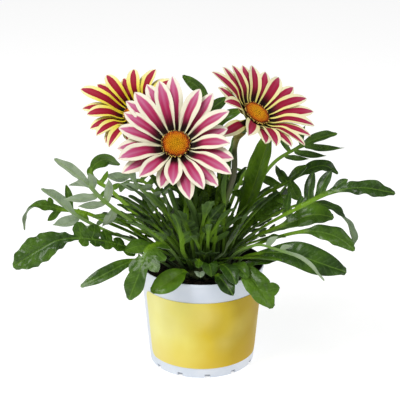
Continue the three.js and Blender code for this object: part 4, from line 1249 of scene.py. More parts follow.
# %% Disc finish
florets, tree, shader = new_finish("tube_floret_golden", {"Roughness": 0.65, "Specular IOR Level": 0.2})
reach = add(tree, "ShaderNodeAttribute", attribute_name="reach").outputs["Fac"]
tall = add(tree, "ShaderNodeAttribute", attribute_name="tall").outputs["Fac"]
spot = add(tree, "ShaderNodeTexCoord").outputs["Object"]
speck = add(tree, "ShaderNodeTexNoise", {"Vector": spot, "Scale": 1 / (1.8 * MM), "Detail": 2}).outputs["Fac"]
flush = add(tree, "ShaderNodeTexNoise", {"Vector": spot, "Scale": 1 / (3.5 * MM), "Detail": 2}).outputs["Fac"]
ragged = add(tree, "ShaderNodeMapRange", {0: speck, 1: 0.3, 2: 0.7, 3: -0.07, 4: 0.07}).outputs[0]
where = add(tree, "ShaderNodeMath", {0: reach, 1: ragged}, operation="ADD")
bud = add(tree, "ShaderNodeValToRGB", {"Fac": where.outputs[0]}, (
    (0.1, "#D49A04"), (0.48, "#D08A04"), (0.67, "#C87406"), (0.775, "#A04206"), (0.84, "#481606"),
    (0.9, "#1C0805"), (1.0, "#160604"),
))
redder = add(tree, "ShaderNodeMapRange", {0: flush, 1: 0.5, 2: 0.64, 3: 0.0, 4: 0.45}).outputs[0]
inner = add(tree, "ShaderNodeValToRGB", {"Fac": reach}, (
    (0.38, "#000000"), (0.57, "#FFFFFF"), (0.745, "#FFFFFF"), (0.82, "#000000"),
)).outputs["Color"]
flushed = add(tree, "ShaderNodeMath", {0: redder, 1: inner}, operation="MULTIPLY").outputs[0]
warm = add(tree, "ShaderNodeMix", {
    0: flushed, 6: bud.outputs["Color"], 7: linear("#C04E02"),
}, data_type="RGBA")
# Painted shade and light: each bud is darkened low on its sides, between the buds, and brightened on its top.
lit = add(tree, "ShaderNodeMapRange", {0: tall, 1: 0.4, 2: 0.95, 3: 0.12, 4: 1.18})
buds_painted_light_and_shade = add(tree, "ShaderNodeVectorMath", {0: warm.outputs[2], "Scale": lit.outputs[0]}, operation="SCALE")
at_rim = add(tree, "ShaderNodeMapRange", {0: reach, 1: 0.82, 2: 0.88})
at_top = add(tree, "ShaderNodeMapRange", {0: tall, 1: 0.76, 2: 0.88})
some = add(tree, "ShaderNodeMapRange", {0: speck, 1: 0.47, 2: 0.51})
there = add(tree, "ShaderNodeMath", {0: at_rim.outputs[0], 1: at_top.outputs[0]}, operation="MULTIPLY")
anther = add(tree, "ShaderNodeMath", {0: there.outputs[0], 1: some.outputs[0]}, operation="MULTIPLY")
mixed = add(tree, "ShaderNodeMix", {
    0: anther.outputs[0], 6: buds_painted_light_and_shade.outputs[0], 7: linear("#E8C05C"),
}, data_type="RGBA")
tree.links.new(mixed.outputs[2], shader.inputs["Base Color"])

# %% The spiral of florets as a node tree
GOLDEN_ANGLE = math.radians(137.508)
floret_tree, given = new_tree("floret_spiral", (
    ("Count", "NodeSocketInt", 230),
    ("Radius", "NodeSocketFloat", (DISC_RADIUS - RIM_FLORET_LONG) * MM),
    ("Dome", "NodeSocketFloat", 2.4 * MM),
    ("Bud", "NodeSocketFloat", 0.94 * MM),
    ("Seed", "NodeSocketInt", 5),
))
index = add(floret_tree, "GeometryNodeInputIndex").outputs[0]
part = add(floret_tree, "ShaderNodeMath", {0: index, 1: given["Count"]}, operation="DIVIDE")
root = add(floret_tree, "ShaderNodeMath", {0: part.outputs[0]}, operation="SQRT")
radius = add(floret_tree, "ShaderNodeMath", {0: root.outputs[0], 1: given["Radius"]}, operation="MULTIPLY")
angle = add(floret_tree, "ShaderNodeMath", {0: index, 1: GOLDEN_ANGLE}, operation="MULTIPLY")
cosine = add(floret_tree, "ShaderNodeMath", {0: angle.outputs[0]}, operation="COSINE")
sine = add(floret_tree, "ShaderNodeMath", {0: angle.outputs[0]}, operation="SINE")
x = add(floret_tree, "ShaderNodeMath", {0: cosine.outputs[0], 1: radius.outputs[0]}, operation="MULTIPLY")
y = add(floret_tree, "ShaderNodeMath", {0: sine.outputs[0], 1: radius.outputs[0]}, operation="MULTIPLY")
fall = add(floret_tree, "ShaderNodeMath", {0: part.outputs[0], 1: 1.5}, operation="POWER")
kept = add(floret_tree, "ShaderNodeMath", {0: 1.0, 1: fall.outputs[0]}, operation="SUBTRACT")
z = add(floret_tree, "ShaderNodeMath", {0: kept.outputs[0], 1: given["Dome"]}, operation="MULTIPLY")
spot = add(floret_tree, "ShaderNodeCombineXYZ", {0: x.outputs[0], 1: y.outputs[0], 2: z.outputs[0]})
points = add(floret_tree, "GeometryNodePoints", {"Count": given["Count"], "Position": spot.outputs[0]})
flat_spot = add(floret_tree, "ShaderNodeCombineXYZ", {0: x.outputs[0], 1: y.outputs[0]})
lean = add(floret_tree, "ShaderNodeVectorMath", {0: flat_spot.outputs[0], "Scale": 0.9}, operation="SCALE")
heading = add(
    floret_tree, "ShaderNodeVectorMath", {0: lean.outputs[0], 1: (0, 0, DISC_RADIUS * MM)}, operation="ADD",
)
turned = add(floret_tree, "FunctionNodeAlignRotationToVector", {"Vector": heading.outputs[0]}, axis="Z")
ball = add(floret_tree, "GeometryNodeMeshUVSphere", {"Segments": 7, "Rings": 6, "Radius": 1.0})
ball_place = add(floret_tree, "GeometryNodeInputPosition").outputs[0]
ball_spot = add(floret_tree, "ShaderNodeSeparateXYZ", {0: ball_place})
ball_tall = add(floret_tree, "ShaderNodeMapRange", {0: ball_spot.outputs["Z"], 1: -1.0, 2: 1.0})
marked = add(floret_tree, "GeometryNodeStoreNamedAttribute", {
    "Geometry": ball.outputs["Mesh"], "Name": "tall", "Value": ball_tall.outputs[0],
})
random_size = add(floret_tree, "FunctionNodeRandomValue", {2: 0.8, 3: 1.15, "Seed": given["Seed"]})
grow_out = add(floret_tree, "ShaderNodeMapRange", {0: root.outputs[0], 3: 0.8, 4: 1.15})
size = add(floret_tree, "ShaderNodeMath", {
    0: random_size.outputs[1], 1: grow_out.outputs[0],
}, operation="MULTIPLY")
wide = add(floret_tree, "ShaderNodeMath", {0: size.outputs[0], 1: given["Bud"]}, operation="MULTIPLY")
long_out = add(floret_tree, "ShaderNodeMapRange", {0: root.outputs[0], 1: 0.7, 2: 0.95, 3: 1.5, 4: 2.0})
high = add(floret_tree, "ShaderNodeMath", {0: wide.outputs[0], 1: long_out.outputs[0]}, operation="MULTIPLY")
scale = add(floret_tree, "ShaderNodeCombineXYZ", {0: wide.outputs[0], 1: wide.outputs[0], 2: high.outputs[0]})
buds = add(floret_tree, "GeometryNodeInstanceOnPoints", {
    "Points": points.outputs[0], "Instance": marked.outputs[0], "Rotation": turned.outputs[0],
    "Scale": scale.outputs[0],
})
end_tree(floret_tree, buds.outputs[0], florets)


# %% Turning a profile
def lathe(profile, segments):
    """A closed shape's points and outward faces, turned about its third axis from radius, height pairs."""
    points = []
    faces = []
    for radius, height in profile[1:-1]:
        points += [
            (radius * math.cos(a), radius * math.sin(a), height)
            for a in np.linspace(0, 2 * math.pi, segments, endpoint=False)
        ]
    rings = len(profile) - 2
    low = len(points)
    top = low + 1
    points += [(0, 0, profile[0][1]), (0, 0, profile[-1][1])]
    for k in range(segments):
        n = (k + 1) % segments
        faces.append((low, n, k))
        for row in range(0, (rings - 1) * segments, segments):
            faces.append((row + k, row + n, row + segments + n, row + segments + k))
        faces.append(((rings - 1) * segments + k, (rings - 1) * segments + n, top))
    return np.array(points), faces


# %% The three discs
DISC_SEED = {"middle": 5, "right": 6, "left": 7}
# The base under the buds gets a low height, so it takes the buds' painted shade.
BASE_TALL_IN_PAINTED_SHADE = 0.1
for flower in FLOWERS:
    buds = run_tree(floret_tree, {"Seed": DISC_SEED[flower]})
    local = points_of(buds)
    tall_values = np.zeros(len(local), np.float32)
    buds.attributes["tall"].data.foreach_get("value", tall_values)
    local[:, 2] += FLORETS_LIFTED
    out_from_axis = np.linalg.norm(local[:, :2], axis=1)
    local[:, :2] *= np.minimum(1, DISC_RADIUS / np.maximum(out_from_axis, 1))[:, None]
    local[:, 2] = np.maximum(local[:, 2], np.interp(out_from_axis / DISC_RADIUS, *DISC_UNDER))
    base_profile = [(share * DISC_RADIUS, height) for share, height in DISC_BASE]
    base, base_faces = lathe([(0, 0), (DISC_UNDER[0][0] * DISC_RADIUS, 0), *base_profile], 48)
    start = len(local)
    every = np.vstack([local, base])
    faces = faces_of(buds) + [tuple(v + start for v in face) for face in base_faces]
    placed = from_seat(SEATS[flower], every)
    made = new_piece(
        f"{flower}_disc_florets", placed, faces, [florets], [f"{flower}_flower_disc"],
    )
    write_number(made, "reach", np.linalg.norm(every[:, :2], axis=1) / DISC_RADIUS)
    write_number(made, "tall", np.concatenate([tall_values, np.full(len(base), BASE_TALL_IN_PAINTED_SHADE)]))
    print(flower, "disc:", len(made.data.polygons), "faces")
    bpy.data.meshes.remove(buds)

# %% [markdown]
# ## Involucre and stalk finishes
# The cup under the flower is a fused ring of bracts: fleshy, ridged, yellow-green and browned by the sun.
# The stalk is a hollow green tube with fine ribs and a short white down, flushed with grey-purple where
# the sun reaches it. Both get streaks that run along them, from noise squeezed across and stretched along.

# %% A stem's skin
def stem_skin(name, stops, fine, constants):
    """A streaked plant skin whose colours follow a piece's own share of its height."""
    material, tree, shader = new_finish(name, constants)
    share, turn = (
        add(tree, "ShaderNodeAttribute", attribute_name=label).outputs["Fac"] for label in ("share", "turn")
    )
    along = add(tree, "ShaderNodeMath", {0: share, 1: 2.5}, operation="MULTIPLY")
    round_it = add(tree, "ShaderNodeMath", {0: turn, 1: fine}, operation="MULTIPLY")
    drawn = add(tree, "ShaderNodeCombineXYZ", {0: round_it.outputs[0], 1: along.outputs[0]})
    streak = add(tree, "ShaderNodeTexNoise", {
        "Vector": drawn.outputs[0], "Scale": 1.0, "Detail": 3,
    }).outputs["Fac"]
    varied = add(tree, "ShaderNodeMath", {0: streak, 1: 0.25, 2: share}, operation="MULTIPLY_ADD")
    moved = add(tree, "ShaderNodeMath", {0: varied.outputs[0], 1: 0.125}, operation="SUBTRACT")
    colour = add(tree, "ShaderNodeValToRGB", {"Fac": moved.outputs[0]}, stops).outputs["Color"]
    lit = add(tree, "ShaderNodeMapRange", {0: streak, 1: 0.3, 2: 0.7, 3: 0.7, 4: 1.3})
    shaded = add(tree, "ShaderNodeVectorMath", {0: colour, "Scale": lit.outputs[0]}, operation="SCALE")
    end_finish(tree, shader, shaded.outputs[0], streak, 0.5, 0.5)
    return material


# %% Stalk and bract finishes
DOWNY = {"Roughness": 0.55, "Specular IOR Level": 0.4, "Sheen Weight": 0.15, "Sheen Roughness": 0.5}
BRACT_SKIN = stem_skin(
    "bract_ridged_yellow_green",
    ((0.0, "#3F5420"), (0.4, "#5E6A28"), (0.75, "#7F7630"), (1.0, "#6A5A28")), 14, DOWNY,
)
STALK_SKINS = {
    "middle": stem_skin(
        "stalk_downy_green", ((0.0, "#22380E"), (0.4, "#4A6B20"), (1.0, "#5C7D2C")), 5, DOWNY,
    ),
    "right": stem_skin("stalk_downy_purple_flushed", (
        (0.0, "#2A4210"), (0.4, "#5B7A1C"), (0.58, "#5C5A44"), (0.76, "#445230"), (0.86, "#66682A"),
        (1.0, "#80702A"),
    ), 5, DOWNY),
}
STALK_SKINS["left"] = STALK_SKINS["middle"]

# %% [markdown]
# ## Stalks
# A stalk is a tube along a line, thicker at its foot. The line comes from the middles of the CAD rings,
# is smoothed, and a node tree sweeps a ring along it whose size falls from foot to top. The tree also
# stores how far along each point lies and where round the ring, which is what the skin's streaks follow.

# %% A stalk as a node tree
stalk_tree, given = new_tree("stalk_tube", (
    ("Line", "NodeSocketGeometry", None),
    ("Foot", "NodeSocketFloat", 2.9 * MM),
    ("Top", "NodeSocketFloat", 2.1 * MM),
    ("Swollen", "NodeSocketFloat", 0.3 * MM),
    ("Sides", "NodeSocketInt", 20),
    ("Skin", "NodeSocketMaterial", None),
))
line = add(stalk_tree, "GeometryNodeMeshToCurve", {"Mesh": given["Line"]})
part = add(stalk_tree, "GeometryNodeSplineParameter").outputs["Factor"]
kept = add(stalk_tree, "GeometryNodeStoreNamedAttribute", {
    "Geometry": line.outputs[0], "Name": "share", "Value": part,
})
slim = add(stalk_tree, "ShaderNodeMapRange", {0: part, 3: given["Foot"], 4: given["Top"]})
neck = add(stalk_tree, "ShaderNodeMapRange", {
    0: part, 1: 0.84, 2: 0.97, 3: 0.0, 4: given["Swollen"],
}, interpolation_type="SMOOTHSTEP")
girth = add(stalk_tree, "ShaderNodeMath", {0: slim.outputs[0], 1: neck.outputs[0]}, operation="ADD")
hoop = add(stalk_tree, "GeometryNodeCurvePrimitiveCircle", {"Resolution": given["Sides"], "Radius": 1.0})
hoop_part = add(stalk_tree, "GeometryNodeSplineParameter").outputs["Factor"]
marked = add(stalk_tree, "GeometryNodeStoreNamedAttribute", {
    "Geometry": hoop.outputs["Curve"], "Name": "turn", "Value": hoop_part,
})
tube = add(stalk_tree, "GeometryNodeCurveToMesh", {
    "Curve": kept.outputs[0], "Profile Curve": marked.outputs[0], "Scale": girth.outputs[0],
    "Fill Caps": True,
})
end_tree(stalk_tree, tube.outputs[0], given["Skin"])

# %% Sweeping the stalks
# Each top: its radius, and how much the neck under the cup swells, in mm.
STALK_STEPS = 60
STALK_TOPS = {"middle": (2.2, 0.6), "right": (2.5, 1.3), "left": (2.2, 0.6)}
STALK_SIDES = 8
for flower in FLOWERS:
    node = f"{flower}_flower_stalk"
    points, _, rings, _ = rings_of(node, STALK_SIDES)
    middles = np.array([points[list(ring)].mean(axis=0) for ring in rings])
    knots = np.concatenate([[0], np.cumsum(np.linalg.norm(np.diff(middles, axis=0), axis=1))])
    route = through(knots, middles, np.linspace(0, knots[-1], STALK_STEPS))
    spine = bpy.data.meshes.new(node)
    spine.from_pydata((route * MM).tolist(), [(k, k + 1) for k in range(STALK_STEPS - 1)], [])
    top, swollen = STALK_TOPS[flower]
    sizes = {"Skin": STALK_SKINS[flower], "Top": top * MM, "Swollen": swollen * MM}
    swept = run_tree(stalk_tree, sizes, spine)
    keep_mesh(f"{flower}_stalk_downy", swept, [node])
    print(f"{flower} stalk: {knots[-1]:.0f} mm long,", len(swept.polygons), "faces")

# %% [markdown]
# ## Involucres
# The cup is turned from its profile, and then the rule of a turned shape is broken twice: shallow ridges
# run up it, one between every two bracts, and the bracts' free tips stand round its mouth as small
# pointed teeth that follow the petals outwards.

# %% Turning the involucres
BRACT_PROFILE = np.array([(0, 2.6), (0.08, 3.1), (0.35, 4.5), (0.7, 4.6), (0.9, 6.2), (1, 7.3)])
BRACT_COUNT = 16
BRACT_RIDGE = 0.28
TOOTH = {"wide": 0.13, "long": 3.6, "out": 2.4, "thick": 0.5}
CUP_SEGMENTS = 96
CUP_ROWS = 22
for flower in FLOWERS:
    node = f"{flower}_flower_involucre"
    foot, right, up, out = SEATS[flower]
    shell, _ = joined(node)
    heights = (shell - foot) @ out
    low = heights.min()
    top = heights.max()
    shares = np.linspace(0, 1, CUP_ROWS)
    radii = through(BRACT_PROFILE[:, 0], BRACT_PROFILE[:, 1:], shares)[:, 0]
    profile = [(0, low), *zip(radii, low + shares * (top - low)), (0, top)]
    local, faces = lathe(profile, CUP_SEGMENTS)
    angle = np.arctan2(local[:, 1], local[:, 0])
    share = (local[:, 2] - low) / (top - low)
    radius = np.linalg.norm(local[:, :2], axis=1)
    ridged = 1 + BRACT_RIDGE / np.maximum(radius, 1) * np.cos(BRACT_COUNT * angle) * np.sin(np.pi * share)
    local[:, :2] *= ridged[:, None]
    turn = angle / (2 * np.pi) + 0.5
    for k in range(BRACT_COUNT):
        middle = (k + 0.5) / BRACT_COUNT * 2 * math.pi
        rim = radii[-1] - 0.4
        start = len(local)
        corners = []
        for side in (-1, 1):
            a = middle + side * TOOTH["wide"]
            for lift in (-TOOTH["long"], -TOOTH["long"] + TOOTH["thick"]):
                corners.append((rim * math.cos(a), rim * math.sin(a), top + lift + 1.2))
        end = rim + TOOTH["out"]
        corners.append((end * math.cos(middle), end * math.sin(middle), top - 0.3))
        local = np.vstack([local, corners])
        share = np.concatenate([share, [0.8, 0.8, 0.8, 0.8, 1.0]])
        turn = np.concatenate([turn, np.full(5, middle / (2 * math.pi))])
        a, b, c, d, e = range(start, start + 5)
        faces += [(a, b, d, c), (a, c, e), (c, d, e), (d, b, e), (b, a, e)]
    placed = from_seat(SEATS[flower], local)
    made = new_piece(f"{flower}_bracts", placed, faces, [BRACT_SKIN], [node])
    write_number(made, "share", share)
    write_number(made, "turn", turn)
    print(f"{flower} involucre: {top - low:.0f} mm deep,", len(faces), "faces")

# %% [markdown]
# ## Receptacles
# The receptacle is the flat head of the stalk, on which the petals and the disc stand. It closes the way
# from the cup's mouth to the petals' feet, and its size is that of the hub in the frame's rays.

# %% Receptacles
RECEPTACLE = ((0, -2.5), (7.6, -2.5), (10.3, -2.2), (11.0, -1.4), (10.3, -0.5), (0, -0.3))
for flower in FLOWERS:
    local, faces = lathe(RECEPTACLE, 64)
    placed = from_seat(SEATS[flower], local)
    made = new_piece(
        f"{flower}_receptacle", placed, faces, [BRACT_SKIN], [f"{flower}_flower_rays"],
    )
    write_number(made, "share", np.full(len(local), 0.6))
    write_number(made, "turn", np.arctan2(local[:, 1], local[:, 0]) / (2 * np.pi) + 0.5)
    print(flower, "receptacle:", len(faces), "faces")

# %% [markdown]
# ## Crown and soil
# The crown is the short woody base that every stalk leaves from, lumpy with the scars of old leaves. The
# soil is bark and peat: a rough crust, with loose crumbs on it. Both start as turned shapes that noise
# pushes in and out, and a node tree scatters the crumbs over the crust.

# %% Crown and soil finishes
crown_bark, tree, shader = new_finish("crown_woody_scarred", {"Roughness": 0.85, "Specular IOR Level": 0.2})
place = add(tree, "ShaderNodeTexCoord").outputs["Object"]
grain = add(tree, "ShaderNodeTexNoise", {"Vector": place, "Scale": 1 / (5 * MM), "Detail": 4}).outputs["Fac"]
bark = add(tree, "ShaderNodeValToRGB", {"Fac": grain}, ((0.3, "#1C1F0C"), (0.5, "#2B3314"), (0.7, "#3E4A1E")))
end_finish(tree, shader, bark.outputs["Color"], grain, 0.8, 1.0)

peat, tree, shader = new_finish("potting_soil_peat_bark_painted_shade", {"Roughness": 0.95, "Specular IOR Level": 0.15})
place = add(tree, "ShaderNodeTexCoord").outputs["Object"]
grit = add(tree, "ShaderNodeTexVoronoi", {"Vector": place, "Scale": 1 / (2.4 * MM)})
patch = add(tree, "ShaderNodeTexNoise", {"Vector": place, "Scale": 1 / (9 * MM), "Detail": 3})
mixed = add(tree, "ShaderNodeMath", {
    0: grit.outputs["Color"], 1: 0.6, 2: patch.outputs["Fac"],
}, operation="MULTIPLY_ADD")
# Near black: partly the peat's own colour, partly painted shade inside the pot.
soil_colour = add(tree, "ShaderNodeValToRGB", {"Fac": mixed.outputs[0]}, (
    (0.45, "#0E0B08"), (0.8, "#1A140E"), (0.98, "#2C2118"),
))
end_finish(tree, shader, soil_colour.outputs["Color"], grit.outputs["Distance"], 0.9, 1.0)

# %% Crown
CROWN_RADIUS = 30
CROWN_HIGH = 12
crown_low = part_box("crown")[0][2] / MM
profile = [(0, crown_low), (CROWN_RADIUS - 1, crown_low)]
profile += [
    ((CROWN_RADIUS - 1) * math.cos(t), crown_low + 0.4 + (CROWN_HIGH - 1) * math.sin(t))
    for t in np.linspace(0, 1.45, 26)
]
profile.append((0, crown_low + CROWN_HIGH - 0.6))
local, faces = lathe(profile, 96)
raised = local[:, 2] > crown_low + 0.2
local[:, 2] += raised * (lumpy(local, 4, 1.6, 3) + lumpy(local, 1.7, 0.5, 8))
new_piece("crown_scarred", local, faces, [crown_bark], ["crown"])

# %% Soil crust
SOIL_FOOT_RADIUS = 47.1
SOIL_RIM_RADIUS = 54.6
soil_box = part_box("soil")
soil_low = soil_box[0][2] / MM
soil_top = soil_box[1][2] / MM
profile = [(0, soil_low), (SOIL_FOOT_RADIUS, soil_low), (SOIL_RIM_RADIUS - 0.6, soil_top - 1.0)]
profile += [(SOIL_RIM_RADIUS * k / 36, soil_top - 0.5) for k in range(35, 0, -1)]
profile.append((0, soil_top - 0.5))
local, faces = lathe(profile, 144)
on_top = local[:, 2] > soil_top - 0.7
under_crown = np.linalg.norm(local[:, :2], axis=1) < CROWN_RADIUS + 1
bumps = lumpy(local, 7, 1.4, 1) + lumpy(local, 2.4, 0.9, 5)
local[:, 2] += on_top * np.where(under_crown, -0.3, bumps)
crust = new_piece("soil_crust", local, faces, [peat], ["soil"])
print("soil crust:", len(faces), "faces, from", round(soil_low, 1), "to", round(local[:, 2].max(), 1), "mm")

# %% Crumbs
crumb_tree, given = new_tree("soil_crumbs", (
    ("Crust", "NodeSocketGeometry", None),
    ("Per Square Metre", "NodeSocketFloat", 110000.0),
    ("Smallest", "NodeSocketFloat", 0.45 * MM),
    ("Largest", "NodeSocketFloat", 1.7 * MM),
    ("Seed", "NodeSocketInt", 11),
))
normal = add(crumb_tree, "GeometryNodeInputNormal").outputs[0]
facing = add(crumb_tree, "ShaderNodeSeparateXYZ", {0: normal})
skyward = add(crumb_tree, "FunctionNodeCompare", {0: facing.outputs["Z"], 1: 0.5}, operation="GREATER_THAN")
spread = add(crumb_tree, "GeometryNodeDistributePointsOnFaces", {
    "Mesh": given["Crust"], "Selection": skyward.outputs[0], "Density": given["Per Square Metre"],
    "Seed": given["Seed"],
})
crumb = add(crumb_tree, "GeometryNodeMeshIcoSphere", {"Radius": 1.0, "Subdivisions": 2})
size = add(crumb_tree, "FunctionNodeRandomValue", {
    2: given["Smallest"], 3: given["Largest"], "Seed": given["Seed"],
})
squash = add(crumb_tree, "FunctionNodeRandomValue", {
    0: (0.7, 0.5, 0.4), 1: (1.3, 1.0, 0.8), "Seed": given["Seed"],
}, data_type="FLOAT_VECTOR")
scale = add(crumb_tree, "ShaderNodeVectorMath", {
    0: squash.outputs[0], "Scale": size.outputs[1],
}, operation="SCALE")
tilt = add(crumb_tree, "FunctionNodeRandomValue", {
    0: (0, 0, 0), 1: (FULL_TURN, FULL_TURN, FULL_TURN), "Seed": given["Seed"],
}, data_type="FLOAT_VECTOR")
turned = add(crumb_tree, "FunctionNodeEulerToRotation", {0: tilt.outputs[0]})
crumbs = add(crumb_tree, "GeometryNodeInstanceOnPoints", {
    "Points": spread.outputs["Points"], "Instance": crumb.outputs["Mesh"], "Rotation": turned.outputs[0],
    "Scale": scale.outputs[0],
})
end_tree(crumb_tree, crumbs.outputs[0], peat)
scattered = run_tree(crumb_tree, {}, crust.data.copy())
keep_mesh("soil_crumbs_loose", scattered, [])
print("crumbs:", len(scattered.polygons), "faces")

# %% [markdown]
# ## The pot
# The pot is injection-moulded polypropylene in two colours, black within and white without, on a taper
# so that pots nest. It is turned from one profile with a rounded foot and lip. The drain notches at the
# foot are a ring of blocks from a node tree, taken away from the wall by a Boolean.

# %% Pot finishes
FLOW = 30
PEEL = 1.5


def moulded(name, pale, deep, roughness, ripple):
    """Moulded plastic: two near colours in slow waves, and the slight orange peel of the mould."""
    material, tree, shader = new_finish(name, {"Roughness": roughness, "IOR": 1.49})
    place = add(tree, "ShaderNodeTexCoord").outputs["Object"]
    flow, peel = (
        add(tree, "ShaderNodeTexNoise", {
            "Vector": place, "Scale": 1 / (size * MM), "Detail": 2,
        }).outputs["Fac"]
        for size in (FLOW, PEEL)
    )
    colour = add(tree, "ShaderNodeValToRGB", {"Fac": flow}, ((0.35, deep), (0.65, pale))).outputs["Color"]
    end_finish(tree, shader, colour, peel, ripple, 0.1)
    return material


WHITE_PLASTIC = moulded("polypropylene_white_moulded", "#D9DEE7", "#CDD5E1", 0.38, 0.25)
BLACK_PLASTIC = moulded("polypropylene_black_moulded", "#1B1D1F", "#141618", 0.45, 0.4)

# %% Pot shell
POT_HIGH = 95
POT_FOOT_RADIUS = 48.5
POT_RIM_RADIUS = 57
LIP_PROUD = 0.4
LIP_HIGH = 3
WALL = 1.2
FLOOR = 2
ROUND = 1.0
TURN_STEPS = 240


def wall_radius(height):
    """The radius in mm of the pot's outer wall at a height."""
    return POT_FOOT_RADIUS + (POT_RIM_RADIUS - LIP_PROUD - POT_FOOT_RADIUS) * height / POT_HIGH


def rounded(corner, size, start, steps=5):
    """A quarter turn of a profile round a corner's inner point, from an angle in degrees."""
    return [
        (corner[0] + size * math.cos(math.radians(start + 90 * k / steps)),
         corner[1] + size * math.sin(math.radians(start + 90 * k / steps)))
        for k in range(steps + 1)
    ]


lip_foot = POT_HIGH - LIP_HIGH
outside = [(0, 0), *rounded((POT_FOOT_RADIUS - ROUND, ROUND), ROUND, -90)]
outside += [(wall_radius(h), h) for h in (10, 25, 40, 55, 70, 85)]
outside += [(wall_radius(lip_foot), lip_foot), (POT_RIM_RADIUS, lip_foot + LIP_PROUD)]
outside += rounded((POT_RIM_RADIUS - 0.5, POT_HIGH - 0.5), 0.5, 0, 4)
inside_wall = [(wall_radius(POT_HIGH) - WALL, POT_HIGH - 0.2)]
inside_wall += [(wall_radius(h) - WALL, h) for h in (60, 20, FLOOR)]
inside_wall.append((0, FLOOR))
profile = outside + inside_wall
local, faces = lathe(profile, TURN_STEPS)
rings_outside = len(outside) - 1
kinds = [int(max(face) >= rings_outside * TURN_STEPS and max(face) != len(local) - 2) for face in faces]
pot_mesh = bpy.data.meshes.new("pot_shell")
pot_mesh.from_pydata((local * MM).tolist(), [], faces)
pot_mesh.materials.append(WHITE_PLASTIC)
pot_mesh.materials.append(BLACK_PLASTIC)
pot_mesh.polygons.foreach_set("material_index", kinds)

# %% Drain notches
notch_tree, given = new_tree("drain_notches", (
    ("Count", "NodeSocketInt", 12),
    ("Radius", "NodeSocketFloat", POT_FOOT_RADIUS * MM),
    ("First", "NodeSocketFloat", math.radians(6)),
    ("Block", "NodeSocketVector", (7 * MM, 5 * MM, 7.2 * MM)),
))
index = add(notch_tree, "GeometryNodeInputIndex").outputs[0]
part = add(notch_tree, "ShaderNodeMath", {0: index, 1: given["Count"]}, operation="DIVIDE")
angle = add(notch_tree, "ShaderNodeMath", {
    0: part.outputs[0], 1: 2 * math.pi, 2: given["First"],
}, operation="MULTIPLY_ADD")
cosine = add(notch_tree, "ShaderNodeMath", {0: angle.outputs[0]}, operation="COSINE")
sine = add(notch_tree, "ShaderNodeMath", {0: angle.outputs[0]}, operation="SINE")
way = add(notch_tree, "ShaderNodeCombineXYZ", {0: cosine.outputs[0], 1: sine.outputs[0]})
spot = add(notch_tree, "ShaderNodeVectorMath", {
    0: way.outputs[0], "Scale": given["Radius"],
}, operation="SCALE")
seats = add(notch_tree, "GeometryNodePoints", {"Count": given["Count"], "Position": spot.outputs[0]})
block = add(notch_tree, "GeometryNodeMeshCube", {"Size": given["Block"]})
spin = add(notch_tree, "ShaderNodeCombineXYZ", {2: angle.outputs[0]})
turned = add(notch_tree, "FunctionNodeEulerToRotation", {0: spin.outputs[0]})
ring = add(notch_tree, "GeometryNodeInstanceOnPoints", {
    "Points": seats.outputs[0], "Instance": block.outputs["Mesh"], "Rotation": turned.outputs[0],
})
end_tree(notch_tree, ring.outputs[0], WHITE_PLASTIC)
blocks = bpy.data.objects.new("notch_blocks", run_tree(notch_tree, {}))
uncut = bpy.data.objects.new("pot_uncut", pot_mesh)
for item in (blocks, uncut):
    bpy.context.scene.collection.objects.link(item)
cutter = uncut.modifiers.new("notches", "BOOLEAN")
cutter.operation = "DIFFERENCE"
cutter.solver = "EXACT"
cutter.object = blocks
pot_cut = bpy.data.meshes.new_from_object(uncut.evaluated_get(bpy.context.evaluated_depsgraph_get()))
for item in (blocks, uncut):
    bpy.data.objects.remove(item)
keep_mesh("pot_two_tone", pot_cut, ["pot"])
pot_cut.set_sharp_from_angle(angle=math.radians(35))
print("pot:", len(pot_cut.polygons), "faces, materials", [m.name for m in pot_cut.materials])

# %% [markdown]
# ## The label
# The label is a printed film wrapped round the front of the pot, its corners cut round. It is filled flat
# like a leaf and rolled on to the wall. The print is a plain warm yellow with soft pale patches, and it
# deepens to gold on the right, partly in the print and partly as painted shade on the side away from the
# key light. It carries no words or marks.

# %% Label sizes and film
LABEL = {"from": -156, "to": -12, "bottom": 10, "top": 76.5, "corner": 7, "off_wall": 0.12, "thick": 0.3}
LABEL_GRID = 3.0

film, tree, shader = new_finish("label_film_printed_yellow", {"Roughness": 0.5, "Specular IOR Level": 0.3})
place = add(tree, "ShaderNodeTexCoord").outputs["Object"]
side = add(tree, "ShaderNodeSeparateXYZ", {0: place}).outputs
patches = add(tree, "ShaderNodeTexNoise", {
    "Vector": place, "Scale": 1 / (32 * MM), "Detail": 2, "Roughness": 0.4,
})
# The yellow deepens to gold towards the right: partly the print, partly painted shade.
sway = add(tree, "ShaderNodeMath", {
    0: patches.outputs["Fac"], 1: 45 * MM, 2: side["X"],
}, operation="MULTIPLY_ADD")
across = add(tree, "ShaderNodeMapRange", {0: sway.outputs[0], 1: -30 * MM, 2: 76 * MM})
print_and_painted_shade = add(tree, "ShaderNodeValToRGB", {"Fac": across.outputs[0]}, (
    (0.0, "#EAE69A"), (0.3, "#E6DA6C"), (0.6, "#D2B82A"), (0.8, "#B2980C"), (1.0, "#A88A04"),
))
glow = add(tree, "ShaderNodeTexVoronoi", {
    "Vector": place, "Scale": 1 / (26 * MM), "Smoothness": 1.0,
}, feature="SMOOTH_F1")
pale = add(tree, "ShaderNodeMapRange", {0: glow.outputs["Distance"], 1: 0.1, 2: 0.5, 3: 0.2, 4: 0.0})
mixed = add(tree, "ShaderNodeMix", {
    0: pale.outputs[0], 6: print_and_painted_shade.outputs["Color"], 7: linear("#E8E0A0"),
}, data_type="RGBA")
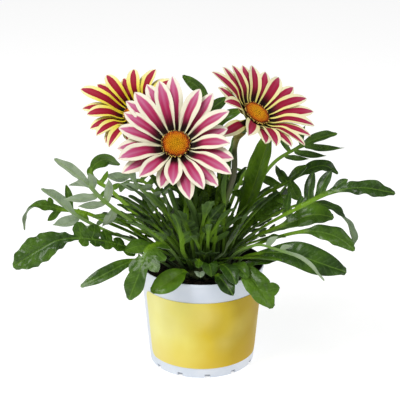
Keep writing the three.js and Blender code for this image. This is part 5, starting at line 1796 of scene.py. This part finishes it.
low = add(tree, "ShaderNodeMapRange", {0: side["Z"], 1: 10 * MM, 2: 38 * MM, 3: 0.4, 4: 0.0})
warm = add(tree, "ShaderNodeMix", {
    0: low.outputs[0], 6: mixed.outputs[2], 7: linear("#D2AC1C"),
}, data_type="RGBA")
tree.links.new(warm.outputs[2], shader.inputs["Base Color"])

# %% Cutting the label and rolling it on
middle_high = (LABEL["bottom"] + LABEL["top"]) / 2
unrolled = wall_radius(middle_high)
wide = math.radians(LABEL["to"] - LABEL["from"]) * unrolled
turn = LABEL["corner"]
outline = []
for x, y, start in (
    (wide - turn, LABEL["bottom"] + turn, -90), (wide - turn, LABEL["top"] - turn, 0),
    (turn, LABEL["top"] - turn, 90), (turn, LABEL["bottom"] + turn, 180),
):
    outline += rounded((x, y), turn, start, 8)
closed = np.array(outline + outline[:1])
steps = np.concatenate([[0], np.cumsum(np.linalg.norm(np.diff(closed, axis=0), axis=1))])
around = np.arange(0, steps[-1] - 1, 2.0)
loop = np.stack([np.interp(around, steps, closed[:, i]) for i in range(2)], axis=1)
flat, faces = filled([loop], [np.array([[wide / 2, 30.0], [wide / 2, 60.0]])], LABEL_GRID)


def on_wall(flat, off):
    """Points of the unrolled label on the pot's wall, a distance off it."""
    angle = math.radians(LABEL["from"]) + flat[:, 0] / unrolled
    radius = wall_radius(flat[:, 1]) + off
    return np.stack([radius * np.cos(angle), radius * np.sin(angle), flat[:, 1]], axis=1)


outer = on_wall(flat, LABEL["off_wall"] + LABEL["thick"])
inner = on_wall(flat, LABEL["off_wall"])
two_sided("label_yellow_film", outer, inner, faces, [film, film], ["label"])
print("label:", round(wide), "mm round the pot,", len(faces) * 2, "faces")

# %% [markdown]
# ## Sizes and the end
# The box of the fine model is written beside the CAD one, to see that the two still agree, and the last
# line closes the scene.

# %% Sizes
visual_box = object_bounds()
sizes = {"cad": [list(map(float, corner)) for corner in CAD_BOX], "visual": [list(map(float, corner)) for corner in visual_box]}
print("visual box in mm:", [[round(c / MM, 1) for c in corner] for corner in visual_box])
